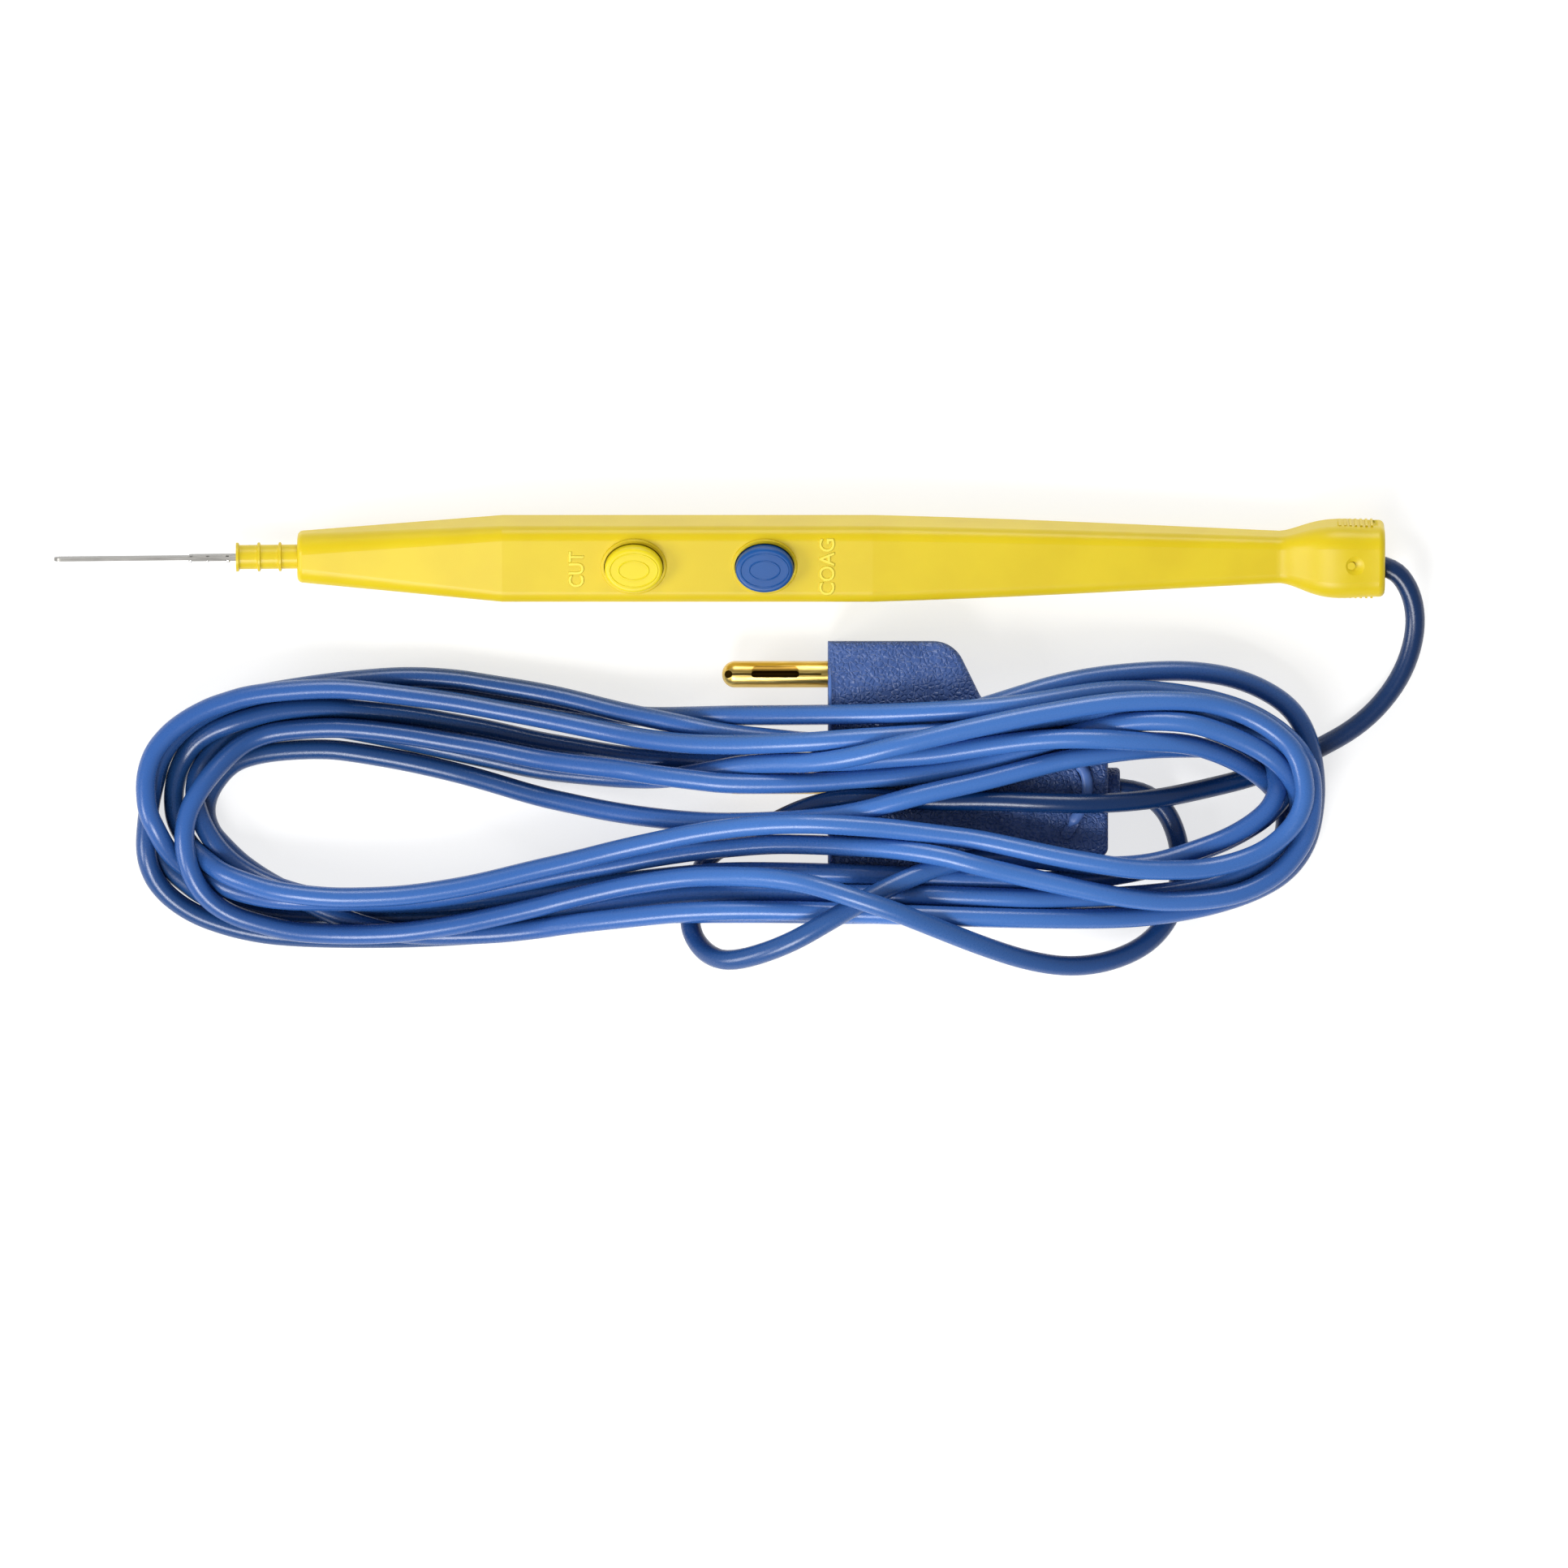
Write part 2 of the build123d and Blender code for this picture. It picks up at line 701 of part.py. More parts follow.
def make_pin(place):
    """Rolled pin: domed sheet tube with seam, window, tip hole, neck, collar and crimp barrel."""
    foot = pin_plane(place)
    with BuildPart() as pin:
        with BuildSketch(foot):
            Circle(pin_d / 2)
        extrude(amount=pin_out)
        fillet(pin.faces().sort_by(Axis.X)[0].edges(), pin_d / 2 - slip)
        with BuildSketch(foot):
            Circle(pin_neck_d / 2)
        extrude(amount=-collar_setback)
        with BuildSketch(foot.offset(-collar_setback)):
            Circle(collar_d / 2)
        extrude(amount=-collar_length)
        with BuildSketch(foot.offset(-collar_setback - collar_length)):
            Circle(barrel_d / 2)
        extrude(amount=-barrel_length)
        with BuildSketch(foot):
            Circle(pin_d / 2 - pin_sheet)
        extrude(amount=pin_out - pin_d / 2, mode=Mode.SUBTRACT)
        with BuildSketch(foot.offset(-collar_setback - collar_length - barrel_length)):
            Circle(barrel_d / 2 - pin_sheet)
        extrude(amount=barrel_length - pin_sheet, mode=Mode.SUBTRACT)
        top = Plane(origin=(plug_x, plug_y + place, plug_mid), x_dir=(-1, 0, 0), z_dir=(0, 0, 1))
        with BuildSketch(top):
            with Locations((pin_out - window_from_tip, 0)):
                SlotOverall(window_long, window_wide)
        extrude(amount=pin_d, mode=Mode.SUBTRACT)
        with BuildSketch(top):
            with Locations((pin_out / 2, 0)):
                Rectangle(pin_out - 2 * tip_hole_setback, seam_line)
            with Locations((pin_out - tip_hole_setback, 0)):
                Circle(tip_hole_d / 2)
        extrude(amount=pin_d, mode=Mode.SUBTRACT)
    return pin.part


# Wires inside the plug, from the jacket's end to the crimp barrels
jacket_in_plug = 3.4
plug_entry_x = plug_rear_x - plug_wall - jacket_in_plug
barrel_x = plug_x + collar_setback + collar_length + barrel_length
wire_turn = 9.0
fan_share = 1.3
spread_shares = (0.55, 0.98)
plug_wire_places = {"active_plug_wire": pin_pitch, "cut_plug_wire": 0, "coag_plug_wire": -pin_pitch}
for name, place in plug_wire_places.items():
    fan = wire_fan * (place > 0) - wire_fan * (place < 0)
    route = [
        (plug_entry_x - wire_gap, plug_y + boss_aside + fan, plug_mid),
        (plug_entry_x - wire_turn / 2, plug_y + boss_aside + fan * fan_share, plug_mid),
        (barrel_x + wire_turn, plug_y + place * spread_shares[0], plug_mid - wire_d),
        (barrel_x + wire_turn / 2, plug_y + place * spread_shares[1], plug_mid),
        (barrel_x + wire_gap, plug_y + place, plug_mid),
    ]
    wire, length = tube(route, bend_radii(route), wire_d)
    export(wire, name)

# Free cord, places chosen along its real route, height of its middle last
floor_z = cord_r
lead_rest = [
    (106.75, -5.0, 6.0),
    (107.6, -11.25, 4.6),
    (105.25, -18.75, 3.1),
    (99.6, -25.6, 2.0),
    (91.5, -30.25, 1.6),
    (83.75, -33.9, 1.8),
    (75.5, -36.1, 6.0),
    (67.25, -37.5, 11.6),
    (58.6, -38.0, 13.0),
    (49.9, -37.75, 12.9),
    (41.1, -37.25, 12.8),
    (33.0, -37.4, 12.8),
]
small_loop_route = [
    (-1.2, -45.2, 3.2),
    (-3.7, -49.0, 2.2),
    (-5.3, -53.75, 1.7),
    (-5.1, -59.25, 1.6),
    (-1.75, -62.6, 1.6),
    (3.9, -62.5, 2.2),
    (10.5, -59.5, 8.0),
    (18.0, -55.1, 13.4),
    (25.25, -51.0, 14.6),
    (31.75, -48.25, 14.7),
]
plug_lead_rest = [
    (68.5, -37.9, 3.8),
    (71.0, -43.5, 2.2),
    (71.1, -49.5, 1.6),
    (69.75, -55.0, 1.6),
    (66.1, -59.4, 1.65),
    (60.25, -62.0, 1.6),
    (53.75, -62.75, 1.65),
    (47.0, -61.5, 2.8),
    (39.9, -58.9, 8.0),
    (33.25, -56.25, 12.9),
    (27.0, -53.9, 15.0),
]
lead_out = 0.85
boss_lead = 3.7
lead_route = [
    tuple(at(jacket_end_x, exit_aside, exit_lift)),
    tuple(at(rear_x + lead_out, exit_aside, exit_lift)),
] + lead_rest
plug_lead_route = [
    (plug_entry_x, plug_y + boss_aside, plug_mid),
    (plug_rear_x + boss_lead, plug_y + boss_aside, plug_mid),
] + plug_lead_rest
cord_routes = {
    "cord_lead": lead_route,
    "cord_small_loop": small_loop_route,
    "cord_plug_lead": plug_lead_route,
}
for name, route in cord_routes.items():
    radii = bend_radii(route)
    piece, length = tube(route, radii, cord_d)
    share = piece.volume / (pi * cord_r ** 2 * length)
    print(name, "length", round(length, 1), "volume share", round(share, 4),
          "radii", [round(radius, 1) for radius in radii])
    export(piece, name)

# Hank of the coiled cord: its outer outline, its two eyes and its hump over the plug
hank_outline = [
    (-89.75, -37.75), (-85.75, -25.6), (-78.25, -21.25), (-68.25, -19.0), (-55.75, -17.25),
    (-45.75, -16.75), (-35.75, -17.6), (-23.25, -20.1), (-10.75, -23.0), (4.25, -23.4),
    (24.25, -23.4), (40.9, -22.0), (51.75, -18.75), (61.75, -16.75), (69.75, -16.1),
    (78.0, -17.0), (85.0, -19.5), (89.5, -23.9), (91.4, -30.0), (92.6, -38.0),
    (92.0, -44.5), (88.5, -49.5), (82.0, -53.4), (69.25, -56.1), (51.75, -56.5),
    (26.75, -56.4), (1.75, -55.5), (-10.75, -56.1), (-23.25, -57.75), (-35.75, -59.1),
    (-48.25, -59.75), (-60.75, -59.4), (-73.25, -58.5), (-80.75, -56.6), (-87.0, -51.5),
    (-89.5, -45.25),
]
left_eye = [
    (-78.25, -37.1), (-75.75, -32.5), (-68.25, -31.0), (-60.75, -30.75), (-48.25, -32.5),
    (-35.75, -35.6), (-23.25, -39.0), (-13.25, -40.75), (-8.5, -41.4), (-15.75, -43.1),
    (-23.25, -45.1), (-35.75, -48.25), (-48.25, -50.4), (-58.0, -50.9), (-66.4, -49.75),
    (-73.25, -45.4), (-77.4, -40.4),
]
right_eye = [
    (24.0, -39.3), (40.5, -36.6), (51.75, -32.5), (62.0, -30.2), (72.4, -29.2),
    (77.0, -30.5), (82.0, -33.0), (86.2, -37.5), (87.0, -39.6), (85.0, -41.3),
    (76.75, -43.2), (72.0, -45.0), (66.75, -46.25), (60.0, -45.9), (51.75, -44.3),
    (39.25, -42.0), (28.0, -40.4),
]
hank_low = 9.8
hank_crest = 21.0
hank_rear_crest = 19.5
hank_tip_crest = 18.4
top_ramp_run = 30.0
under_ramp_run = 16.0
rear_ramp_run = 22.0
pin_tip_x = plug_x - pin_out
plug_end_x = plug_rear_x + boss_out
jack_wall = 0.9
jack_reach = 2.6
pin_clear = plug_mid + pin_d / 2 + jack_wall
hank_left_x = -95.0
hank_right_x = 98.0
hank_half_y = 30.0
side_plane = Plane(origin=(0, plug_y, 0), x_dir=(1, 0, 0), z_dir=(0, -1, 0))
with BuildPart() as cord_hank:
    with BuildSketch():
        with BuildLine():
            Spline(*hank_outline, periodic=True)
        make_face()
        with BuildLine():
            Spline(*left_eye, periodic=True)
        make_face(mode=Mode.SUBTRACT)
        with BuildLine():
            Spline(*right_eye, periodic=True)
        make_face(mode=Mode.SUBTRACT)
    extrude(amount=hank_crest + cut_over)
    with BuildSketch(side_plane):
        with BuildLine():
            Polyline(
                (hank_left_x, 0),
                (pin_tip_x - under_ramp_run, 0),
                (pin_tip_x - jack_reach, pin_clear),
                (plug_x, plug_thick),
                (plug_end_x, plug_thick),
                (plug_end_x + rear_ramp_run, 0),
                (hank_right_x, 0),
                (hank_right_x, hank_low),
                (plug_end_x + rear_ramp_run, hank_low),
                (plug_end_x, hank_rear_crest),
                (plug_x, hank_crest),
                (pin_tip_x, hank_tip_crest),
                (pin_tip_x - top_ramp_run, hank_low),
                (hank_left_x, hank_low),
                close=True,
            )
        make_face()
    extrude(amount=hank_half_y, both=True, mode=Mode.INTERSECT)

export(upper_housing.part, "upper_housing")
export(lower_housing.part, "lower_housing")
export(make_button(cut_x), "cut_button")
export(make_button(coag_x), "coag_button")
export(make_dome(cut_x), "cut_dome")
export(make_dome(coag_x), "coag_dome")
export(make_seal(cut_x), "cut_seal")
export(make_seal(coag_x), "coag_seal")
export(switch_board.part, "switch_board")
export(electrode_socket.part, "electrode_socket")
export(blade_electrode.part, "blade_electrode")
export(electrode_sleeve.part, "electrode_sleeve")
export(cord_clamp.part, "cord_clamp")
export(plug_cover.part, "plug_cover")
export(plug_base.part, "plug_base")
export(plug_grommet.part, "plug_grommet")
export(make_pin(pin_places[0]), "active_pin")
export(make_pin(pin_places[1]), "cut_pin")
export(make_pin(pin_places[2]), "coag_pin")
export(cord_hank.part, "cord_hank")
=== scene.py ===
# %% [markdown]
# # An electrosurgical pencil with its cord laid out on a table
#
# The pencil is a slim yellow handle with two push buttons and a steel blade. Its blue cord
# leaves the rear end, lies in seven loose turns and ends in a flat plug with three pins.
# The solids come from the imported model, so this script only dresses them: it adds the camera,
# the light, the cord as one smooth curve, the raised words, the tops of the keys, a few small
# marks, and a finish for each piece.

from math import atan2, cos, radians, sin

import bpy
import numpy as np
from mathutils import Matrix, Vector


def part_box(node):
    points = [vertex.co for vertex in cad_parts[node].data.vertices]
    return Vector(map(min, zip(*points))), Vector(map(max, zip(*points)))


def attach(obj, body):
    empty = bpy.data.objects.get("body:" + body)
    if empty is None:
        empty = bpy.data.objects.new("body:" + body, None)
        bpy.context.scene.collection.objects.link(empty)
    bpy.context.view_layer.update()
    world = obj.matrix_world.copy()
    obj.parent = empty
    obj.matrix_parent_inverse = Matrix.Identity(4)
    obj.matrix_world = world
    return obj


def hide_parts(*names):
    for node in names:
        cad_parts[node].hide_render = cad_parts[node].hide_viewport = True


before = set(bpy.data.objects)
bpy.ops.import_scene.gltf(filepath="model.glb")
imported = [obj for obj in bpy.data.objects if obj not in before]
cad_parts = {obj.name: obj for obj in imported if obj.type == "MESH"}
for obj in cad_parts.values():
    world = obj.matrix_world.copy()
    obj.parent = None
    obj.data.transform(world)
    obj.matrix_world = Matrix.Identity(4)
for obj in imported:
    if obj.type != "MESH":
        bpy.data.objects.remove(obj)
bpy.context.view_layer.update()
MM = 0.001

# %% [markdown]
# ## Camera
#
# The photograph looks straight down, and nothing in it shows perspective. A camera three metres
# up with a long lens sees the same: eight pixels of the picture are one millimetre on the table.
# The lens follows from the width of table that the picture holds.

# %% Camera
picture_px = 1932
px_per_mm = 8.0
view_wide = picture_px / px_per_mm * MM
view_middle = (10 * MM, -34.75 * MM)
camera_height = 3.0
mid_height = 6 * MM
sensor_wide = 36
nearest_seen = 0.1
farthest_seen = 20

lens = bpy.data.cameras.new("top_view")
lens.sensor_width = sensor_wide
lens.lens = sensor_wide * (camera_height - mid_height) / view_wide
lens.clip_start = nearest_seen
lens.clip_end = farthest_seen
camera = bpy.data.objects.new("top_view", lens)
camera.location = (view_middle[0], view_middle[1], camera_height)
bpy.context.collection.objects.link(camera)
bpy.context.scene.camera = camera
print("lens", round(lens.lens, 1), "mm")

# %% [markdown]
# ## The handle's own frame
#
# The handle lies rolled a little about its long axis, because it rests on the rounded edge
# of its underside. Places on it are easier to give along, across and up through the buttons,
# and one function turns them to the table's frame, in metres.

# %% Handle frame
roll = radians(14)
axis_height = 6.364
face_up = 5.5


def at(along, across, up):
    """Table point of a handle place in mm: y = across cos - up sin, z = axis + across sin + up cos.

    Whole arrays give rows of x, y and z. The result is in metres.
    """
    return np.array([
        along + 0 * across,
        across * cos(roll) - up * sin(roll),
        axis_height + across * sin(roll) + up * cos(roll),
    ]) * MM


print("middle of the button face", (at(0, 0, face_up) / MM).round(2), "mm")

# %% [markdown]
# ## The cord's route
#
# The cord is one length of soft jacketed cable, 3.1 mm thick and about three metres long.
# Its plan is traced: the lead from the handle, a small loop, seven turns, and the run to the plug.
# Each turn goes left along the back of the hank and returns along its front.
# The points are x and y in millimetres, and those at the two exits have their height as well.

# %% Route in millimetres
cord_d = 3.1
rear_x = 102.45
exit_aside = -0.6
exit_lift = 0.6
jacket_inside = 4.6
lead_out = 0.85
plug_mid = 5.5
boss_y = -35.1
lead = [
    tuple(at(rear_x - jacket_inside, exit_aside, exit_lift) / MM),
    tuple(at(rear_x + lead_out, exit_aside, exit_lift) / MM), (106.75, -5.0, 6.0),
    (107.6, -11.25), (105.25, -18.75), (99.6, -25.6), (91.5, -30.25), (83.75, -33.9),
    (75.5, -36.1), (67.25, -37.5), (58.6, -38.0), (49.9, -37.75), (41.1, -37.25), (33.0, -37.4),
    (26.8, -37.1), (20.5, -37.1), (15.2, -37.9), (9.2, -40.4), (4.2, -43.4),
]
small_loop = [
    (-1.2, -45.2), (-3.4, -49.2), (-4.45, -53.4), (-4.45, -57.6), (-2.0, -60.95), (1.95, -62.2),
    (10.5, -59.5), (18.0, -55.1), (25.25, -51.0), (31.75, -48.25), (36.8, -46.8), (44.2, -46.1),
    (51.8, -47.0), (59.2, -47.8), (66.8, -47.2), (73.0, -45.2), (78.4, -43.2), (82.6, -40.8),
    (85.6, -38.2), (86.6, -35.0),
]
first_turn = [
    (85.4, -32.0), (81.8, -30.0), (76.8, -29.3), (70.5, -28.9), (64.2, -29.0), (56.8, -30.0),
    (51.8, -31.1), (45.5, -32.9), (39.2, -34.6), (33.0, -35.9), (28.0, -37.1), (21.8, -38.8),
    (14.2, -40.0), (1.8, -40.6), (-7.0, -40.2), (-15.8, -39.1), (-23.2, -37.6), (-28.2, -36.5),
    (-35.8, -34.2), (-40.8, -32.8), (-48.2, -31.1), (-55.8, -29.8), (-60.8, -29.2),
    (-68.2, -29.5), (-73.2, -30.4), (-76.1, -31.8), (-78.5, -34.6), (-79.5, -37.1),
    (-79.5, -39.6), (-78.5, -42.1), (-77.0, -43.8), (-74.2, -46.6), (-71.6, -48.5),
    (-69.0, -50.1), (-62.0, -53.8), (-55.8, -56.2), (-48.2, -58.0), (-35.8, -57.8),
    (-28.2, -57.0), (-23.2, -56.2), (-15.8, -55.4), (-4.5, -54.2), (8.0, -54.0), (26.8, -54.6),
    (39.2, -54.9), (51.8, -55.0), (61.8, -54.9), (69.2, -54.4), (76.8, -53.0), (83.0, -50.9),
    (87.4, -48.2), (90.2, -44.2), (91.2, -39.2), (91.2, -34.0),
]
second_turn = [
    (90.2, -28.4), (88.6, -24.6), (86.1, -21.8), (81.8, -19.4), (76.8, -18.0), (69.8, -17.5),
    (59.2, -18.5), (51.8, -20.1), (45.5, -22.0), (39.2, -23.8), (33.0, -25.6), (26.8, -27.1),
    (20.5, -28.2), (14.2, -28.4), (9.2, -27.8), (3.0, -27.1), (-0.8, -26.5), (-5.8, -25.5),
    (-10.8, -24.5), (-15.8, -23.5), (-23.2, -21.6), (-28.2, -20.6), (-35.8, -19.4),
    (-40.8, -18.6), (-48.2, -18.2), (-55.8, -18.8), (-60.8, -19.4), (-65.8, -20.2),
    (-70.8, -21.2), (-75.8, -22.8), (-80.8, -25.2), (-84.5, -28.4), (-86.8, -32.1),
    (-87.5, -36.5), (-88.0, -40.9), (-88.2, -44.4), (-87.6, -47.4), (-86.2, -50.2),
    (-83.6, -52.8), (-80.0, -54.9), (-75.4, -56.4), (-71.8, -57.1), (-68.2, -57.5),
    (-60.8, -57.8), (-48.2, -57.8), (-35.8, -57.2), (-28.2, -55.9), (-23.2, -54.8),
    (-15.8, -54.1), (-4.5, -54.0), (8.0, -53.9), (20.5, -54.0), (33.0, -53.8), (45.5, -53.6),
    (58.0, -53.2), (69.2, -52.5), (76.8, -51.2), (83.0, -48.4), (86.4, -45.2), (88.0, -41.2),
]
third_turn = [
    (87.8, -37.4), (85.6, -34.2), (81.8, -31.2), (76.8, -29.0), (71.8, -27.4), (64.2, -26.8),
    (58.0, -26.6), (51.8, -27.0), (45.5, -27.8), (39.2, -28.8), (33.0, -30.0), (26.8, -30.9),
    (20.5, -31.8), (14.2, -32.1), (1.8, -32.0), (-4.5, -31.6), (-10.8, -31.1), (-15.8, -30.5),
    (-23.2, -29.1), (-28.2, -28.2), (-35.8, -26.4), (-40.8, -25.5), (-48.2, -24.2),
    (-55.8, -23.5), (-60.8, -23.1), (-68.2, -23.5), (-73.2, -24.6), (-75.8, -25.4),
    (-78.2, -26.5), (-80.5, -28.2), (-82.2, -30.2), (-83.5, -32.5), (-84.2, -35.0),
    (-84.4, -37.5), (-84.0, -40.6), (-82.6, -43.4), (-80.4, -45.6), (-77.6, -47.3),
    (-75.8, -48.3), (-73.2, -49.5), (-68.2, -51.2), (-60.8, -52.1), (-55.8, -52.2),
    (-48.2, -51.9), (-40.8, -50.8), (-35.8, -49.8), (-28.2, -47.9), (-23.2, -46.8),
    (-15.8, -44.9), (-10.8, -43.8), (-4.5, -42.4), (1.8, -41.4), (8.0, -40.8), (14.2, -40.6),
    (20.5, -40.9), (26.8, -41.5), (34.2, -42.6), (39.2, -43.2), (45.5, -44.5), (51.8, -45.9),
    (59.2, -47.2), (64.2, -47.9), (69.2, -48.0), (74.2, -47.9), (79.2, -46.9), (83.6, -45.2),
    (86.8, -42.8), (89.0, -40.2), (90.1, -37.1), (90.0, -34.0),
]
fourth_turn = [
    (88.9, -30.2), (86.1, -27.1), (81.8, -24.4), (76.8, -22.6), (71.8, -22.0), (64.2, -21.9),
    (58.0, -22.5), (51.8, -23.5), (45.5, -24.6), (39.2, -25.9), (33.0, -27.2), (26.8, -28.5),
    (20.5, -29.9), (14.2, -31.0), (9.2, -31.6), (4.2, -32.1), (-0.8, -32.9), (-7.0, -33.8),
    (-10.8, -34.0), (-15.8, -33.8), (-23.2, -33.1), (-28.2, -32.5), (-35.8, -30.8),
    (-43.2, -29.2), (-48.2, -28.1), (-55.8, -26.5), (-60.8, -25.6), (-68.2, -25.0),
    (-73.2, -25.6), (-75.8, -26.5), (-78.0, -28.4), (-79.9, -31.1), (-80.8, -33.6),
    (-81.0, -37.1), (-80.0, -40.9), (-78.0, -44.6), (-75.1, -47.5), (-70.8, -50.0),
    (-65.8, -51.8), (-60.8, -53.0), (-48.2, -53.8), (-35.8, -52.8), (-23.2, -51.2),
    (-15.8, -50.2), (-4.5, -49.2), (1.8, -48.8), (14.2, -48.8), (26.8, -49.1), (39.2, -49.5),
    (51.8, -49.8), (58.0, -49.2), (64.2, -48.2), (69.2, -46.8), (74.2, -44.9), (79.2, -42.8),
    (84.2, -39.6), (86.8, -36.5),
]
fifth_turn = [
    (88.6, -33.8), (89.0, -30.8), (87.6, -28.2), (84.6, -26.8), (80.8, -26.0), (76.8, -25.1),
    (70.5, -23.8), (64.2, -23.1), (51.8, -24.2), (39.2, -26.1), (26.8, -27.4), (20.5, -28.0),
    (14.2, -28.5), (8.0, -28.6), (1.8, -28.6), (-4.5, -28.4), (-10.8, -27.8), (-15.8, -26.9),
    (-23.2, -25.4), (-28.2, -24.4), (-35.8, -23.0), (-40.8, -22.1), (-48.2, -21.1),
    (-55.8, -20.2), (-60.8, -20.0), (-68.2, -20.5), (-72.9, -21.2), (-75.2, -21.9),
    (-78.0, -22.8), (-80.1, -23.8), (-82.2, -25.0), (-84.6, -26.8), (-87.0, -29.6),
    (-88.1, -32.8), (-88.3, -35.5), (-87.9, -39.0), (-86.6, -41.5), (-85.1, -44.0),
    (-83.1, -45.9), (-80.8, -47.5), (-78.0, -49.0), (-74.5, -51.1), (-68.2, -52.5),
    (-60.8, -52.8), (-48.2, -52.8), (-40.8, -52.1), (-35.8, -51.2), (-28.2, -49.9),
    (-23.2, -49.0), (-15.8, -47.9), (-10.8, -46.8), (-4.5, -45.5), (1.8, -44.6), (8.0, -44.0),
    (14.2, -44.1), (20.5, -44.4), (26.8, -45.0), (34.2, -46.2), (39.2, -47.5), (45.5, -48.9),
    (51.8, -50.2), (59.2, -51.8), (64.2, -52.5), (69.2, -52.9), (76.8, -52.4), (81.8, -51.0),
    (86.1, -48.4), (88.6, -45.2), (89.9, -42.1), (90.2, -37.8),
]
sixth_turn = [
    (89.8, -33.4), (88.0, -29.6), (84.9, -26.5), (80.5, -24.0), (75.5, -22.5), (70.5, -21.5),
    (64.2, -21.0), (58.0, -21.5), (51.8, -22.6), (45.5, -23.5), (39.2, -23.9), (34.2, -24.1),
    (26.8, -24.5), (14.2, -24.9), (1.8, -24.9), (-4.5, -24.9), (-10.8, -24.8), (-15.8, -24.2),
    (-23.2, -23.1), (-28.2, -22.2), (-35.8, -21.1), (-48.2, -19.8), (-55.8, -19.6),
    (-60.8, -19.8), (-68.2, -21.0), (-73.2, -21.8), (-78.2, -23.5), (-82.6, -26.2),
    (-85.8, -30.2), (-87.0, -34.6), (-87.9, -38.4), (-88.1, -41.8), (-86.9, -45.0),
    (-84.6, -47.9), (-82.2, -49.6), (-79.9, -51.3), (-77.0, -52.7), (-73.2, -53.6),
    (-68.2, -54.2), (-60.8, -54.8), (-55.8, -55.2), (-48.2, -55.4), (-40.8, -55.1),
    (-35.8, -55.0), (-30.8, -54.5), (-23.2, -53.8), (-15.8, -52.8), (-4.5, -51.5), (8.0, -51.4),
    (20.5, -51.9), (33.0, -52.1), (45.5, -52.4), (51.8, -52.2), (59.2, -52.0), (64.2, -51.8),
    (70.5, -51.2), (76.8, -50.0), (83.0, -47.1), (86.8, -43.6), (88.9, -39.6),
]
seventh_turn = [
    (89.0, -36.6), (87.8, -33.8), (85.3, -31.2), (81.8, -28.8), (76.8, -26.5), (71.8, -24.9),
    (64.2, -24.4), (56.8, -25.6), (51.8, -27.4), (45.5, -29.4), (39.2, -31.5), (33.0, -32.8),
    (26.8, -33.6), (21.8, -33.9), (14.2, -34.2), (1.8, -34.0), (-3.2, -33.6), (-10.8, -32.9),
    (-15.8, -32.2), (-23.2, -31.5), (-28.2, -30.8), (-35.8, -29.2), (-40.8, -28.4),
    (-48.2, -27.1), (-55.8, -26.2), (-60.8, -26.0), (-67.6, -26.5), (-70.8, -27.3),
    (-73.5, -28.6), (-76.1, -30.9), (-78.6, -33.8), (-80.2, -36.2), (-81.5, -39.0),
    (-81.9, -42.4), (-81.4, -46.0), (-80.4, -49.0), (-78.9, -51.4), (-76.8, -53.4),
    (-74.1, -55.0), (-70.8, -56.1), (-65.8, -57.4), (-60.8, -57.8), (-54.5, -57.9),
    (-48.2, -57.6), (-40.8, -56.5), (-35.8, -55.5), (-28.2, -53.8), (-23.2, -52.5),
    (-15.8, -50.8), (-10.8, -49.9), (-4.5, -49.0), (1.8, -48.9), (8.0, -49.1), (14.2, -50.0),
    (20.5, -51.9),
]
plug_lead = [
    (27.0, -53.9), (33.25, -56.25), (39.9, -58.9), (47.0, -61.5), (53.75, -62.75), (60.25, -62.0),
    (66.1, -59.4), (69.75, -55.0), (71.1, -49.5), (71.0, -43.5), (68.5, -37.9),
    (63.55, boss_y, plug_mid), (54.65, boss_y, plug_mid),
]
print("route from x", round(lead[0][0], 2), "to x", plug_lead[-1][0], "mm")

# %% [markdown]
# ## Which strand lies on top
#
# A plan doesn't say which strand crosses over which, so each stretch has layer numbers at a
# few shares of its way, and the points between take a number between. Where two strands meet,
# the one with the higher number is on top.

# %% Layers
stretches = (
    (lead, ((0, 1), (0.8, 1), (1, 0))),
    (small_loop, ((0, 0), (0.25, 0), (0.35, 5.5), (1, 5.5))),
    (first_turn, ((0, 2), (0.51, 2), (0.57, 4.5), (1, 4.5))),
    (second_turn, ((0, 4), (0.65, 4), (0.72, 2), (1, 2))),
    (third_turn, ((0, 2.5), (0.02, 2.5), (0.06, 7), (0.74, 7), (0.80, 9), (1, 9))),
    (fourth_turn, ((0, 9), (0.34, 9), (0.41, 5), (1, 5))),
    (fifth_turn, ((0, 5), (0.32, 5), (0.34, 6), (0.75, 6), (0.77, 8), (1, 8))),
    (sixth_turn, ((0, 6), (0.20, 6), (0.24, 3), (1, 3))),
    (seventh_turn, ((0, 6), (0.18, 6), (0.22, 10), (1, 10))),
    (plug_lead, ((0, 10), (0.2, 10), (0.4, 0), (1, 0))),
)
plan = np.array([point[:2] for points, steps in stretches for point in points])
layer = np.concatenate([
    np.interp(np.linspace(0, 1, len(points)), *zip(*steps)) for points, steps in stretches
])
print("points on the route", len(plan))

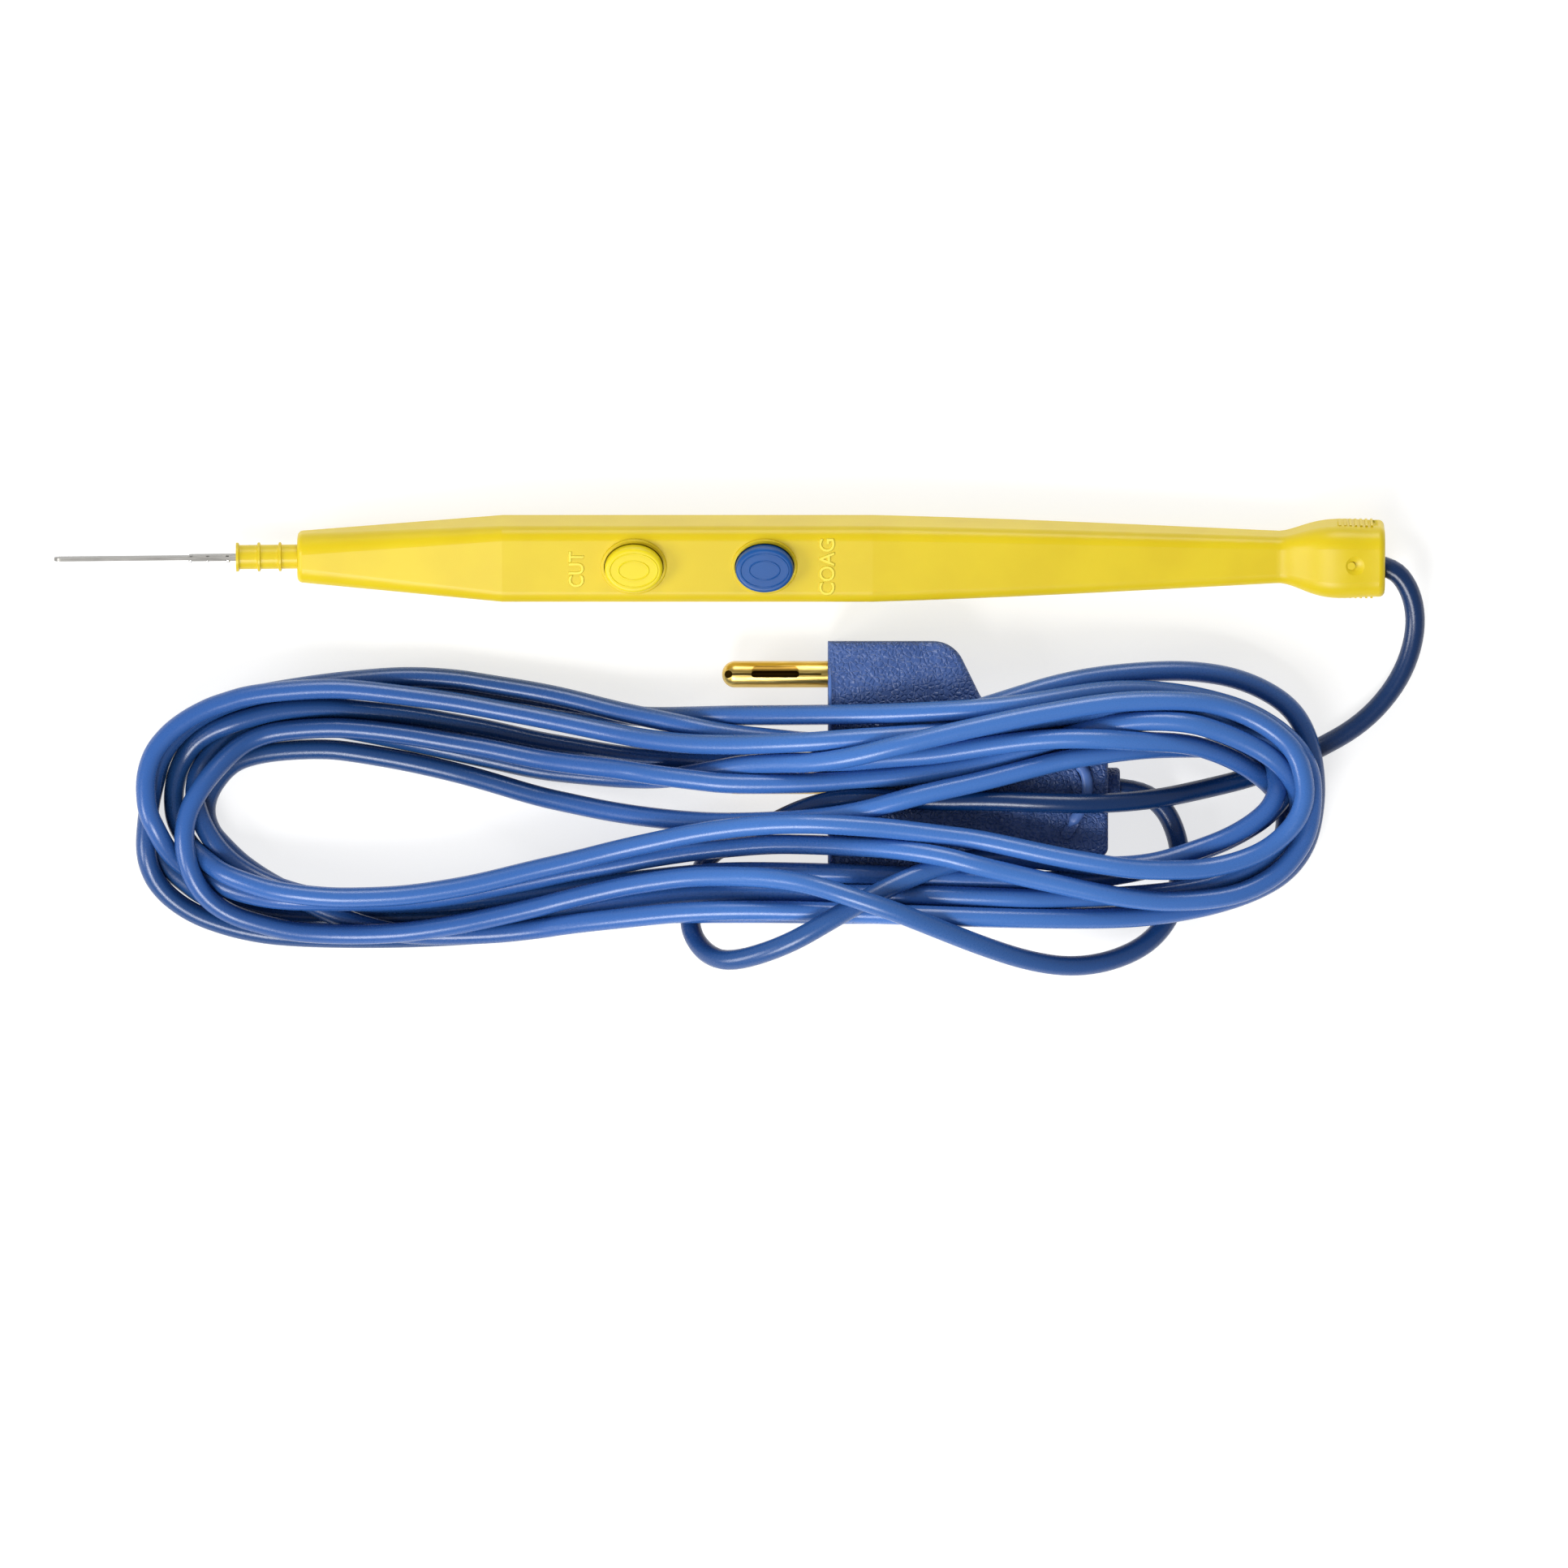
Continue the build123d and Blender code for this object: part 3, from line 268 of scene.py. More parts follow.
# %% [markdown]
# ## How high each strand lies
#
# A plan says nothing about height either. Gravity does: each strand sinks until it meets the
# table, the plug, a pin or the strand below it. So the route's points are let down in small
# rounds. In each round every point sinks a little, the cord's stiffness evens out its heights,
# and the points are drawn back to their traced places. The spline that the points steer is
# sampled, a sample that cuts into another strand is pushed out, the upper layer upwards, and
# each push is shared by the three points that carry the sample. The points inside the handle,
# at its exit and inside the plug's boss are held where they are.

# %% What the cord can lie on
plug_low, plug_high = (np.array(corner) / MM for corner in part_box("plug_base"))
cover_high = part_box("plug_cover")[1][2] / MM - plug_high[2]
cover_rib_high = 0.4
plug_top = plug_high[2] + cover_high - cover_rib_high
wing_length = 19.3
wing_taper = 4.8
neck_half = 11.75
wing_half = (plug_high[1] - plug_low[1]) / 2
plug_y = (plug_high[1] + plug_low[1]) / 2
pin_r = 2.05
pin_out = 16.3
pin_pitch = 16.4
cord_r = cord_d / 2


def resting_height(x, y):
    """Height of a cord's middle that lies on the table, or on the plug or a pin below it.

    Over a flat edge it is top + sqrt(r² - (r - e)²) for a place e inside the cord's own reach,
    and over a round pin middle + sqrt((r + pin)² - d²) for a place d off the pin's line.
    """
    height = np.full_like(x, cord_r)
    along = x - plug_low[0]
    aside = np.abs(y - plug_y)
    half = np.interp(along, (wing_length, wing_length + wing_taper), (wing_half, neck_half))
    inside = np.minimum(np.minimum(along, plug_high[0] - plug_low[0] - along), half - aside)
    reach = np.clip(inside + cord_r, 0, cord_r)
    over_plug = plug_top + np.sqrt(cord_r**2 - (cord_r - reach) ** 2)
    height = np.where(inside > -cord_r, np.maximum(height, over_plug), height)
    for place in (pin_pitch, 0, -pin_pitch):
        off = np.minimum(np.abs(y - plug_y - place), pin_r + cord_r)
        over_pin = plug_mid + np.sqrt((pin_r + cord_r) ** 2 - off**2)
        beside = (off < pin_r + cord_r) & (along < cord_r) & (along > -pin_out - cord_r)
        height = np.where(beside, np.maximum(height, over_pin), height)
    return height


print("top of the plug", round(plug_top, 2), "mm")

# %% Samples of the spline
spots = np.linspace(0, 1, 4, endpoint=False)
weights = np.stack([(1 - spots) ** 2 / 2, 0.5 + spots - spots**2, spots**2 / 2])


def sampled(points):
    """Samples of the spline: ((1 - t)² a + (1 + 2t - 2t²) b + t² c) / 2 for neighbours a, b, c."""
    spans = np.stack([points[:-2], points[1:-1], points[2:]])
    return np.einsum("ws,wn...->ns...", weights, spans).reshape(-1, *points.shape[1:])


def shared(push, active, count):
    """Each point's share of the pushes on its samples: the weighted mean over the pushed ones."""
    push = push.reshape(count - 2, len(spots), -1)
    active = active.reshape(count - 2, len(spots), 1)
    total = np.zeros((count, push.shape[2]))
    weight = np.full((count, 1), 1e-9)
    for step in range(3):
        part = weights[step][None, :, None]
        total[step : count - 2 + step] += (part * push).sum(axis=1)
        weight[step : count - 2 + step] += (part * active).sum(axis=1)
    return total / weight


print("samples on the spline", len(sampled(plan)))

# %% Let the strands down
round_count = 500
pushes_a_round = 3
start_step = 0.1
sink_step = 0.05
near_margin = 1.5
own_reach = 2.5 * cord_d
stacked_reach = 0.5 * cord_d
bend_share = 0.3
full_bend_span = 6
least_bend = 0.15
even_share = 0.5
drift_kept = 0.94
push_gain = 1.3
spans_in_boss = 3
upwards = np.array([0, 0, 1.0])


def let_down(plan, layer, held, held_points):
    """Lowers the route's points under gravity until strands rest on each other, layer by layer.

    The points numbered in held stay at held_points. Samples whose places in the plan are
    within half a diameter are stacked: they part upwards only. Others part along the line
    between them. A sample doesn't meet its own stretch of the cord. Lengths are in mm.
    """
    count = len(plan)
    points = np.column_stack([plan, resting_height(*plan.T) + start_step * layer])
    points[held] = held_points
    home = points.copy()
    rank = sampled(layer)
    flat = sampled(plan)
    gap = np.linalg.norm(flat[:, None] - flat[None], axis=2)
    one, two = np.where(gap < cord_d + near_margin)
    run = np.concatenate([[0], np.cumsum(np.linalg.norm(np.diff(flat, axis=0), axis=1))])
    apart = run[two] - run[one] > own_reach
    one, two = one[apart], two[apart]
    up = np.where(rank[one] > rank[two], 1.0, -1.0)
    stacked = gap[one, two] < stacked_reach
    size = len(flat)
    span = np.linalg.norm(np.diff(plan, axis=0), axis=1)
    stiff = bend_share * np.clip((span[1:] + span[:-1]) / 2 / full_bend_span, least_bend, 1)
    for turn in range(round_count):
        points[:, 2] -= sink_step
        bend = (points[:-2, 2] + points[2:, 2]) / 2 - points[1:-1, 2]
        points[1:-1, 2] += stiff * bend
        aside = points[:, :2] - home[:, :2]
        aside[1:-1] += even_share * ((aside[:-2] + aside[2:]) / 2 - aside[1:-1])
        points[:, :2] = home[:, :2] + drift_kept * aside
        for again in range(pushes_a_round):
            places = sampled(points)
            offset = places[one] - places[two]
            side = np.hypot(offset[:, 0], offset[:, 1])
            need = np.sqrt(np.maximum(cord_d**2 - side**2, 0))
            lift = np.where(stacked, np.maximum(need - up * offset[:, 2], 0), 0) * up / 2
            reach = np.linalg.norm(offset, axis=1)
            press = np.where(~stacked & (reach < cord_d), cord_d - reach, 0) / 2
            move = offset * (press / np.maximum(reach, 1e-6))[:, None]
            move[:, 2] += lift
            busy = (np.abs(lift) + press > 0).astype(float)
            push = np.stack([
                np.bincount(one, move[:, axis], size) - np.bincount(two, move[:, axis], size)
                for axis in range(3)
            ], axis=1)
            hits = np.bincount(one, busy, size) + np.bincount(two, busy, size)
            push /= np.maximum(hits, 1)[:, None]
            points += push_gain * shared(push, np.minimum(hits, 1), count)
            ground = resting_height(places[:, 0], places[:, 1])
            ground[-spans_in_boss * len(spots) :] = cord_r
            short = ground - sampled(points)[:, 2]
            raised = np.maximum(short, 0)[:, None] * upwards
            points += shared(raised, (short > 0).astype(float), count)
        points[held] = held_points
    places = sampled(points)
    reach = np.linalg.norm(places[one] - places[two], axis=1)
    print("closest strands", round(reach.min() / cord_d, 2), "diameters,",
          "top", round(places[:, 2].max() + cord_r, 1), "mm")
    return points


held = [0, 1, 2, -2, -1]
held_points = np.array([lead[0], lead[1], lead[2], plug_lead[-2], plug_lead[-1]])
route = let_down(plan, layer, held, held_points)

# %% Cord as one curve
curve = bpy.data.curves.new("cord", "CURVE")
curve.dimensions = "3D"
spline = curve.splines.new("NURBS")
spline.points.add(len(route) - 1)
spline.points.foreach_set("co", np.column_stack([route * MM, np.ones(len(route))]).ravel())
spline.points.foreach_set("radius", np.full(len(route), cord_r * MM))
spline.order_u = 3
spline.use_endpoint_u = True
spline.use_smooth = True
curve.resolution_u = 6
curve.bevel_depth = 1.0
curve.bevel_resolution = 4
curve.use_fill_caps = True
cord = bpy.data.objects.new("cord", curve)
bpy.context.collection.objects.link(cord)
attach(cord, "handle")
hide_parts("cord_lead", "cord_hank", "cord_small_loop", "cord_plug_lead")
print("cord of", len(spline.points), "points")

# %% [markdown]
# ## Finishes
#
# Every finish starts from what the real surface is. Colours are written as sRGB hex values,
# and one function turns them to the linear numbers that the shader wants. One small function
# adds a node with its settings and inputs, and a few more name what a node is there for, so
# each material reads as a short list. Sizes of grain and wear are given in millimetres.

# %% Colour and node helpers


def linear(code):
    """Linear colour of an sRGB hex code: c / 12.92 below 0.04045, else ((c + 0.055) / 1.055)^2.4."""
    parts = np.array([int(code[k : k + 2], 16) for k in (0, 2, 4)]) / 255
    parts = np.where(parts <= 0.04045, parts / 12.92, ((parts + 0.055) / 1.055) ** 2.4)
    return (*parts, 1.0)


def add_node(tree, kind, inputs=None, **settings):
    """Adds one node. An input is a constant that stays on its socket, or a socket to link."""
    made = tree.nodes.new(kind)
    for name, value in settings.items():
        setattr(made, name, value)
    for socket, value in (inputs or {}).items():
        if isinstance(value, bpy.types.NodeSocket):
            tree.links.new(value, made.inputs[socket])
        else:
            made.inputs[socket].default_value = value
    return made


def maths(tree, operation, *terms):
    """Result of one sum whose terms are numbers or sockets."""
    terms = dict(enumerate(terms))
    return add_node(tree, "ShaderNodeMath", terms, operation=operation).outputs["Value"]


def remap(tree, value, low, high, new_low=0.0, new_high=1.0, **settings):
    """Value carried from the range low to high to a new one, and held at its ends."""
    ends = {"Value": value, "From Min": low, "From Max": high, "To Min": new_low, "To Max": new_high}
    return add_node(tree, "ShaderNodeMapRange", ends, **settings).outputs["Result"]


def noise(tree, place, size_mm, detail, output="Fac"):
    """Soft noise between 0 and 1 whose features are about size_mm wide."""
    made = add_node(tree, "ShaderNodeTexNoise",
                    {"Vector": place, "Scale": 1 / (size_mm * MM), "Detail": detail})
    return made.outputs[output]


def colour_steps(tree, factor, stops):
    """Colour ramp through any number of stops, each a position and a linear colour."""
    ramp = add_node(tree, "ShaderNodeValToRGB", {"Fac": factor})
    for spare in range(len(stops) - 2):
        ramp.color_ramp.elements.new(0.5)
    for element, (position, colour) in zip(ramp.color_ramp.elements, stops):
        element.position = position
        element.color = colour
    return ramp.outputs["Color"]


def blend(tree, share, first, second):
    """Colour between two others, each a linear colour or a socket: first + share (second - first).

    The two colour inputs of a Mix node are its seventh and eighth, and the output is its third.
    """
    mix = add_node(tree, "ShaderNodeMix", {"Factor": share, 6: first, 7: second}, data_type="RGBA")
    return mix.outputs[2]


def start_material(name, colour, **values):
    """A material with a Principled shader whose constant values sit on its own sockets."""
    material = bpy.data.materials.new(name)
    material.use_nodes = True
    material.diffuse_color = linear(colour)
    tree = material.node_tree
    shader = tree.nodes["Principled BSDF"]
    shader.inputs["Base Color"].default_value = linear(colour)
    for socket, value in values.items():
        shader.inputs[socket.replace("_", " ")].default_value = value
    place = add_node(tree, "ShaderNodeTexCoord").outputs["Object"]
    return material, tree, shader, place


def wear_colour(tree, place, light, dark, size_mm):
    """Colour that drifts between two shades in soft patches of the given size."""
    patches = noise(tree, place, size_mm, 3)
    return colour_steps(tree, patches, ((0.35, linear(dark)), (0.65, linear(light))))


def uneven_gloss(tree, shader, pattern, low, high):
    """Roughness that follows a pattern between two values."""
    tree.links.new(remap(tree, pattern, 0, 1, low, high), shader.inputs["Roughness"])


def raise_grain(tree, shader, height, depth_mm):
    """Bump from a height between 0 and 1 that stands for a real depth in millimetres."""
    bump = add_node(tree, "ShaderNodeBump",
                    {"Height": height, "Distance": depth_mm * MM, "Strength": 1.0})
    tree.links.new(bump.outputs["Normal"], shader.inputs["Normal"])


print("middle grey is", round(linear("808080")[0], 3), "in linear light")

# %% [markdown]
# ## Moulded plastics
#
# The handle is ABS, injected into a spark-eroded mould. That gives the eye a satin surface
# with a fine even grain of about a tenth of a millimetre, drawn a little coarser so it shows.
# The colour barely drifts, and a trace of light passes under the skin at thin edges. The raised
# letters are a paler yellow, a painted highlight for the light they catch. The sleeve and the
# buttons are moulded in the same way.

# %% Moulded plastics
grain_deep = 0.006
patch_mm = 9
glow_mm = 0.6


def moulded_plastic(name, light, dark, roughness=0.36, grain_mm=0.16):
    """Satin moulded plastic: soft colour drift, fine grain and slightly uneven gloss."""
    material, tree, shader, place = start_material(
        name, light, Roughness=roughness, IOR=1.53, Specular_IOR_Level=0.3,
        Subsurface_Weight=0.04, Subsurface_Scale=glow_mm * MM,
    )
    tree.links.new(wear_colour(tree, place, light, dark, patch_mm), shader.inputs["Base Color"])
    grain = noise(tree, place, grain_mm, 2)
    uneven_gloss(tree, shader, grain, roughness - 0.05, roughness + 0.07)
    raise_grain(tree, shader, grain, grain_deep)
    return material


handle_yellow = moulded_plastic("handle_abs_yellow", "D8BF18", "D3B915")
# Painted highlight: the raised letters are a paler yellow than the face they stand on.
letter_highlight_yellow = moulded_plastic("handle_abs_painted_highlight", "EAD94A", "E4D142")
sleeve_yellow = moulded_plastic("sleeve_nylon_yellow", "D7BF26", "CDB31E", roughness=0.34)
button_yellow = moulded_plastic("button_abs_yellow", "E2CE1A", "DDC817", roughness=0.36)
button_blue = moulded_plastic("button_abs_blue", "145399", "104B8E", roughness=0.34)
plastics = (handle_yellow, letter_highlight_yellow, sleeve_yellow, button_yellow, button_blue)
print("plastics", [material.name for material in plastics])

# %% [markdown]
# ## Cord jacket
#
# The jacket is soft PVC drawn through a round die, with a satin gloss that is slightly uneven.
# Little light reaches the strands near the table, so the colour carries a painted shade that follows
# the height above the table: deep and a little grey near the table, clearer on the upper turns, and
# a slow drift from place to place breaks it up. The two ends get a deeper painted shade still. The
# curve's own run, from 0 at the handle to 1 at the plug, says where they are.

# %% Cord jacket
hank_high = 20
drift_mm = 30
drift_share = 0.12
drawn_mm = 0.5
drawn_deep = 0.006
# Painted shade: the jacket's colour darkens towards the table.
height_shade_stops = ((0.14, "1B3F70"), (0.31, "214882"), (0.5, "2F5A9E"), (0.9, "4070B8"))
# Painted shade: the stretch by the handle, with its small loop, and the stretch by the plug are
# darker.
end_shade_stops = ((0.03, 1), (0.044, 0.65), (0.052, 0.6), (0.062, 0), (0.968, 0), (0.98, 0.5))

jacket_blue, tree, shader, place = start_material("cord_pvc_blue", "345FA3", Roughness=0.26, IOR=1.5)
height = add_node(tree, "ShaderNodeSeparateXYZ", {"Vector": place}).outputs["Z"]
level = remap(tree, height, 0, hank_high * MM)
mixed = maths(tree, "MULTIPLY_ADD", noise(tree, place, drift_mm, 2), drift_share, level)
height_shade = colour_steps(tree, mixed, [(position, linear(code)) for position, code in height_shade_stops])
along_cord = add_node(tree, "ShaderNodeTexCoord").outputs["UV"]
run = add_node(tree, "ShaderNodeSeparateXYZ", {"Vector": along_cord}).outputs["X"]
end_shade = colour_steps(tree, run, [(position, (v, v, v, 1)) for position, v in end_shade_stops])
shade = blend(tree, end_shade, height_shade, linear("042A58"))
tree.links.new(shade, shader.inputs["Base Color"])
drawn = noise(tree, place, drawn_mm, 2)
uneven_gloss(tree, shader, drawn, 0.22, 0.34)
raise_grain(tree, shader, drawn, drawn_deep)
curve.materials.append(jacket_blue)
print("jacket made with", len(tree.nodes), "nodes")

# %% [markdown]
# ## Grained blue plug
#
# The plug is moulded over with PVC in a leather-grained mould: small rounded cells, half
# a millimetre to a millimetre wide, with narrow grooves between them. The cells are Voronoi
# cells whose edges are pressed in, and noise bends them so that none has straight sides.

# %% Plug plastic
plug_patch_mm = 5
cell_mm = 0.75
warp_mm = 1.2
warp_far = 0.5
groove_share = 0.28
groove_deep = 0.13

plug_blue, tree, shader, place = start_material(
    "plug_pvc_grained_blue", "3A578F", Roughness=0.42, IOR=1.54
)
patches = wear_colour(tree, place, "3C5995", "304C85", plug_patch_mm)
tree.links.new(patches, shader.inputs["Base Color"])
warp = noise(tree, place, warp_mm, 2, "Color")
shift = add_node(tree, "ShaderNodeVectorMath", {0: warp, 1: (warp_far * MM,) * 3},
                 operation="MULTIPLY")
bent = add_node(tree, "ShaderNodeVectorMath", {0: place, 1: shift.outputs["Vector"]},
                operation="ADD")
cells = add_node(tree, "ShaderNodeTexVoronoi",
                 {"Vector": bent.outputs["Vector"], "Scale": 1 / (cell_mm * MM)},
                 feature="DISTANCE_TO_EDGE")
grooves = remap(tree, cells.outputs["Distance"], 0, groove_share,
                interpolation_type="SMOOTHSTEP")
raise_grain(tree, shader, grooves, groove_deep)

# Painted highlight: the rib and the front bead are a paler blue than the plug, for the light along
# their edges.
rib_highlight_blue = moulded_plastic("plug_pvc_smooth_blue_painted_highlight", "5373B2", "4B6AA8", roughness=0.32, grain_mm=0.4)
print("plug made with", len(tree.nodes), "nodes")

# %% [markdown]
# ## Metals
#
# The blade is ground stainless steel with fine marks along it. The pins are brass sheet rolled
# to a tube and flashed with gold: bright, yellow, with soft streaks along the rolling direction.
# The hidden metals are plain rolled or turned stock. A metal keeps the default IOR.

# %% Metals
stretch = (0.08, 1, 1)
streak_mm = 0.25
streak_deep = 0.004


def streaked_metal(name, light, dark, roughness):
    """Metal with marks drawn out along X: noise whose scale is small along that axis."""
    material, tree, shader, place = start_material(name, light, Roughness=roughness, Metallic=1.0)
    drawn_out = add_node(tree, "ShaderNodeMapping", {"Vector": place, "Scale": stretch})
    streaks = noise(tree, drawn_out.outputs["Vector"], streak_mm, 4)
    colour = colour_steps(tree, streaks, ((0.3, linear(dark)), (0.7, linear(light))))
    tree.links.new(colour, shader.inputs["Base Color"])
    uneven_gloss(tree, shader, streaks, roughness - 0.06, roughness + 0.1)
    raise_grain(tree, shader, streaks, streak_deep)
    return material


blade_steel = streaked_metal("blade_stainless_ground", "A09E9A", "8A8884", 0.4)
pin_gold = streaked_metal("pin_brass_gold_flashed", "EDD07E", "C9A44C", 0.3)
# Painted glint: the press marks are near-white steel, much brighter than the blade.
mark_glint_steel = streaked_metal("mark_steel_painted_glint", "F2F1EE", "E6E5E2", 0.18)
socket_brass = streaked_metal("socket_brass_turned", "C9A95E", "A98942", 0.3)
sheet_steel = streaked_metal("spring_steel_sheet", "BDBBB6", "9F9D98", 0.3)
metals = (blade_steel, pin_gold, mark_glint_steel, socket_brass, sheet_steel)
print("metals", [material.name for material in metals])

# %% [markdown]
# ## Inside a pin
#
# The inside of the rolled tube is painted dark brown, a painted shade, and a brown band of painted
# shade round its window stands for the window's walls in shadow. Both are found by distance. The
# inside is what lies nearer to the pin's axis than its skin, or in the dome at the tip nearer to the
# dome's centre. The band is what lies beside a short line along the middle of the window, on the
# upper half of the pin.

# %% Inside a pin
bore_r, skin_r = 1.7, 1.9
window_x, window_half, window_aside = 8.65, 2.85, 0.5
window_shade_from, window_shade_to = 0.68, 0.86
far_along = 9

tree = pin_gold.node_tree
shader = tree.nodes["Principled BSDF"]
gilding = shader.inputs["Base Color"].links[0].from_socket
place = add_node(tree, "ShaderNodeTexCoord").outputs["Object"]
parts = add_node(tree, "ShaderNodeSeparateXYZ", {"Vector": place})
x, y, z = (parts.outputs[axis] for axis in "XYZ")
wrapped = maths(tree, "WRAP", y, (plug_y + pin_pitch / 2) * MM, (plug_y - pin_pitch / 2) * MM)
sideways = maths(tree, "SUBTRACT", wrapped, plug_y * MM)
upward = maths(tree, "SUBTRACT", z, plug_mid * MM)
past_dome = maths(tree, "SUBTRACT", x, (plug_low[0] - pin_out + pin_r) * MM)
in_dome = maths(tree, "MINIMUM", past_dome, 0.0)
cross = add_node(tree, "ShaderNodeCombineXYZ", {"X": sideways, "Y": upward, "Z": in_dome})
from_axis = add_node(tree, "ShaderNodeVectorMath", {0: cross.outputs["Vector"]}, operation="LENGTH")
bore_shade_mask = remap(tree, from_axis.outputs["Value"], bore_r * MM, skin_r * MM)
length = maths(tree, "ABSOLUTE", maths(tree, "SUBTRACT", x, window_x * MM))
beyond = remap(tree, length, window_half * MM, far_along * MM,
               0.0, (far_along - window_half) * MM)
aside = maths(tree, "SUBTRACT", sideways, window_aside * MM)
spread = add_node(tree, "ShaderNodeCombineXYZ", {"X": beyond, "Y": aside})
from_line = add_node(tree, "ShaderNodeVectorMath", {0: spread.outputs["Vector"]}, operation="LENGTH")
window_shade_mask = remap(tree, from_line.outputs["Value"], window_shade_from * MM, window_shade_to * MM)
outside = maths(tree, "MAXIMUM", window_shade_mask, maths(tree, "LESS_THAN", upward, 0.0))
# Painted shade: 86682C is the band round the window, 5E4418 the inside of the tube.
around = blend(tree, outside, linear("86682C"), gilding)
gilt_with_painted_shade = blend(tree, bore_shade_mask, linear("5E4418"), around)
tree.links.new(gilt_with_painted_shade, shader.inputs["Base Color"])
print("pin metal made with", len(tree.nodes), "nodes")

# %% [markdown]
# ## Hidden pieces
#
# Inside the handle are a glass-fibre board with green lacquer, silicone seals and three
# insulated wires. They only show when the casing is taken away.

# %% Hidden finishes
board_green = moulded_plastic("board_lacquer_green", "23613C", "1B5032", roughness=0.3, grain_mm=0.8)
seal_white = moulded_plastic("seal_silicone_white", "D9DAD6", "CDCEC9", roughness=0.5)
wire_blue = moulded_plastic("wire_pvc_blue", "2B4F97", "25468A", roughness=0.32)
wire_yellow = moulded_plastic("wire_pvc_yellow", "E6C832", "DDBE2B", roughness=0.32)
wire_white = moulded_plastic("wire_pvc_white", "E4E4DF", "DADAD4", roughness=0.32)

finishes = {
    handle_yellow: ["upper_housing", "lower_housing"],
    sleeve_yellow: ["electrode_sleeve"],
    button_yellow: ["cut_button"],
    button_blue: ["coag_button"],
    plug_blue: ["plug_cover", "plug_base", "plug_grommet"],
    blade_steel: ["blade_electrode"],
    pin_gold: ["active_pin", "cut_pin", "coag_pin"],
    socket_brass: ["electrode_socket"],
    sheet_steel: ["cut_dome", "coag_dome", "cord_clamp"],
    board_green: ["switch_board"],
    seal_white: ["cut_seal", "coag_seal"],
    wire_blue: ["active_wire", "active_plug_wire"],
    wire_yellow: ["cut_wire", "cut_plug_wire"],
    wire_white: ["coag_wire", "coag_plug_wire"],
}
for material, names in finishes.items():
    for name in names:
        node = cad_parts[name]
        node.data.materials.clear()
        node.data.materials.append(material)
print("nodes with a finish", sum(len(names) for names in finishes.values()))

# %% [markdown]
# ## Raised words
#
# The words CUT and COAG stand a fraction of a millimetre proud of the button face, moulded
# with it, and read from the lower edge up. Text is made a mesh first, fitted to its real
# size, and then carried onto the rolled face, half of its height sunk in. A small chamfer
# catches the light along each letter.

# %% Words on the button face
chamfer = 0.034


def raised_word(word, along, across, cap_mm, long_mm, proud_mm=0.17):
    """A word whose capitals are cap_mm tall and which is long_mm long, read towards +Y."""
    text = bpy.data.curves.new(f"word_{word.lower()}", "FONT")
    text.body = word
    text.extrude = 0
    text.bevel_depth = chamfer
    text.bevel_resolution = 0
    maker = bpy.data.objects.new("maker", text)
    bpy.context.collection.objects.link(maker)
    graph = bpy.context.evaluated_depsgraph_get()
    mesh = bpy.data.meshes.new_from_object(maker.evaluated_get(graph))
    bpy.data.objects.remove(maker)
    corners = np.empty(len(mesh.vertices) * 3)
    mesh.vertices.foreach_get("co", corners)
    corners = corners.reshape(-1, 3)
    low = corners.min(axis=0)
    high = corners.max(axis=0)
    share = (corners - (low + high) / 2) / (high - low)
    up = face_up + 2 * proud_mm * share[:, 2]
    placed = at(along - share[:, 1] * cap_mm, across + share[:, 0] * long_mm, up).T
    mesh.vertices.foreach_set("co", placed.ravel())
    mesh.materials.clear()
    mesh.materials.append(letter_highlight_yellow)
    mesh.update()
    made = bpy.data.objects.new(f"word_{word.lower()}", mesh)
    bpy.context.collection.objects.link(made)
    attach(made, "handle")
    print("word", word, len(mesh.polygons), "faces")
    return made


raised_word("CUT", along=-21.95, across=-0.42, cap_mm=2.45, long_mm=5.7)
raised_word("COAG", along=16.6, across=-0.05, cap_mm=2.5, long_mm=9.0)

# %% [markdown]
# ## Key tops, plug rib and blade marks
#
# Each key top is a soft oval cushion with two fine raised lines, one inside the other. The plug has
# one curved rib by which it is pulled and a fine bead along its front edge, both in a paler blue as
# a painted highlight, and the shank of the blade has three small press marks in near-white steel as
# a painted glint. All are closed surfaces worked out from a few sizes.

# %% Surface helpers


def add_surface(name, grid, body, material):
    """Closed surface from rings of points: quads between rings, and a fan over each end ring."""
    rings, turns = grid.shape[:2]
    ends = grid[[0, -1]].mean(axis=1)
    points = np.concatenate([grid.reshape(-1, 3), ends])
    ring, turn = np.meshgrid(np.arange(rings - 1), np.arange(turns), indexing="ij")
    here = ring * turns + turn
    beside = ring * turns + (turn + 1) % turns
    faces = np.stack([here, beside, beside + turns, here + turns], axis=-1).reshape(-1, 4).tolist()
    last = (rings - 1) * turns
    for k in range(turns):
        faces.append((rings * turns, (k + 1) % turns, k))
        faces.append((rings * turns + 1, last + k, last + (k + 1) % turns))
    mesh = bpy.data.meshes.new(name)
    mesh.from_pydata(points.tolist(), [], faces)
    mesh.polygons.foreach_set("use_smooth", np.ones(len(mesh.polygons), dtype=bool))
    mesh.materials.append(material)
    mesh.update()
    made = bpy.data.objects.new(name, mesh)
    bpy.context.collection.objects.link(made)
    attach(made, body)
    print(name, len(mesh.polygons), "faces")
    return made


def oval_stack(along, across, profile, turns=128):
    """Rings on a handle place: x = along + a cos t, y = across + b sin t, at height up.

    The profile has one (a, b, up) for each ring.
    """
    angle = np.linspace(0, 2 * np.pi, turns, endpoint=False)
    return np.stack([
        at(along + a * np.cos(angle), across + b * np.sin(angle), np.full(turns, up)).T
        for a, b, up in profile
    ])


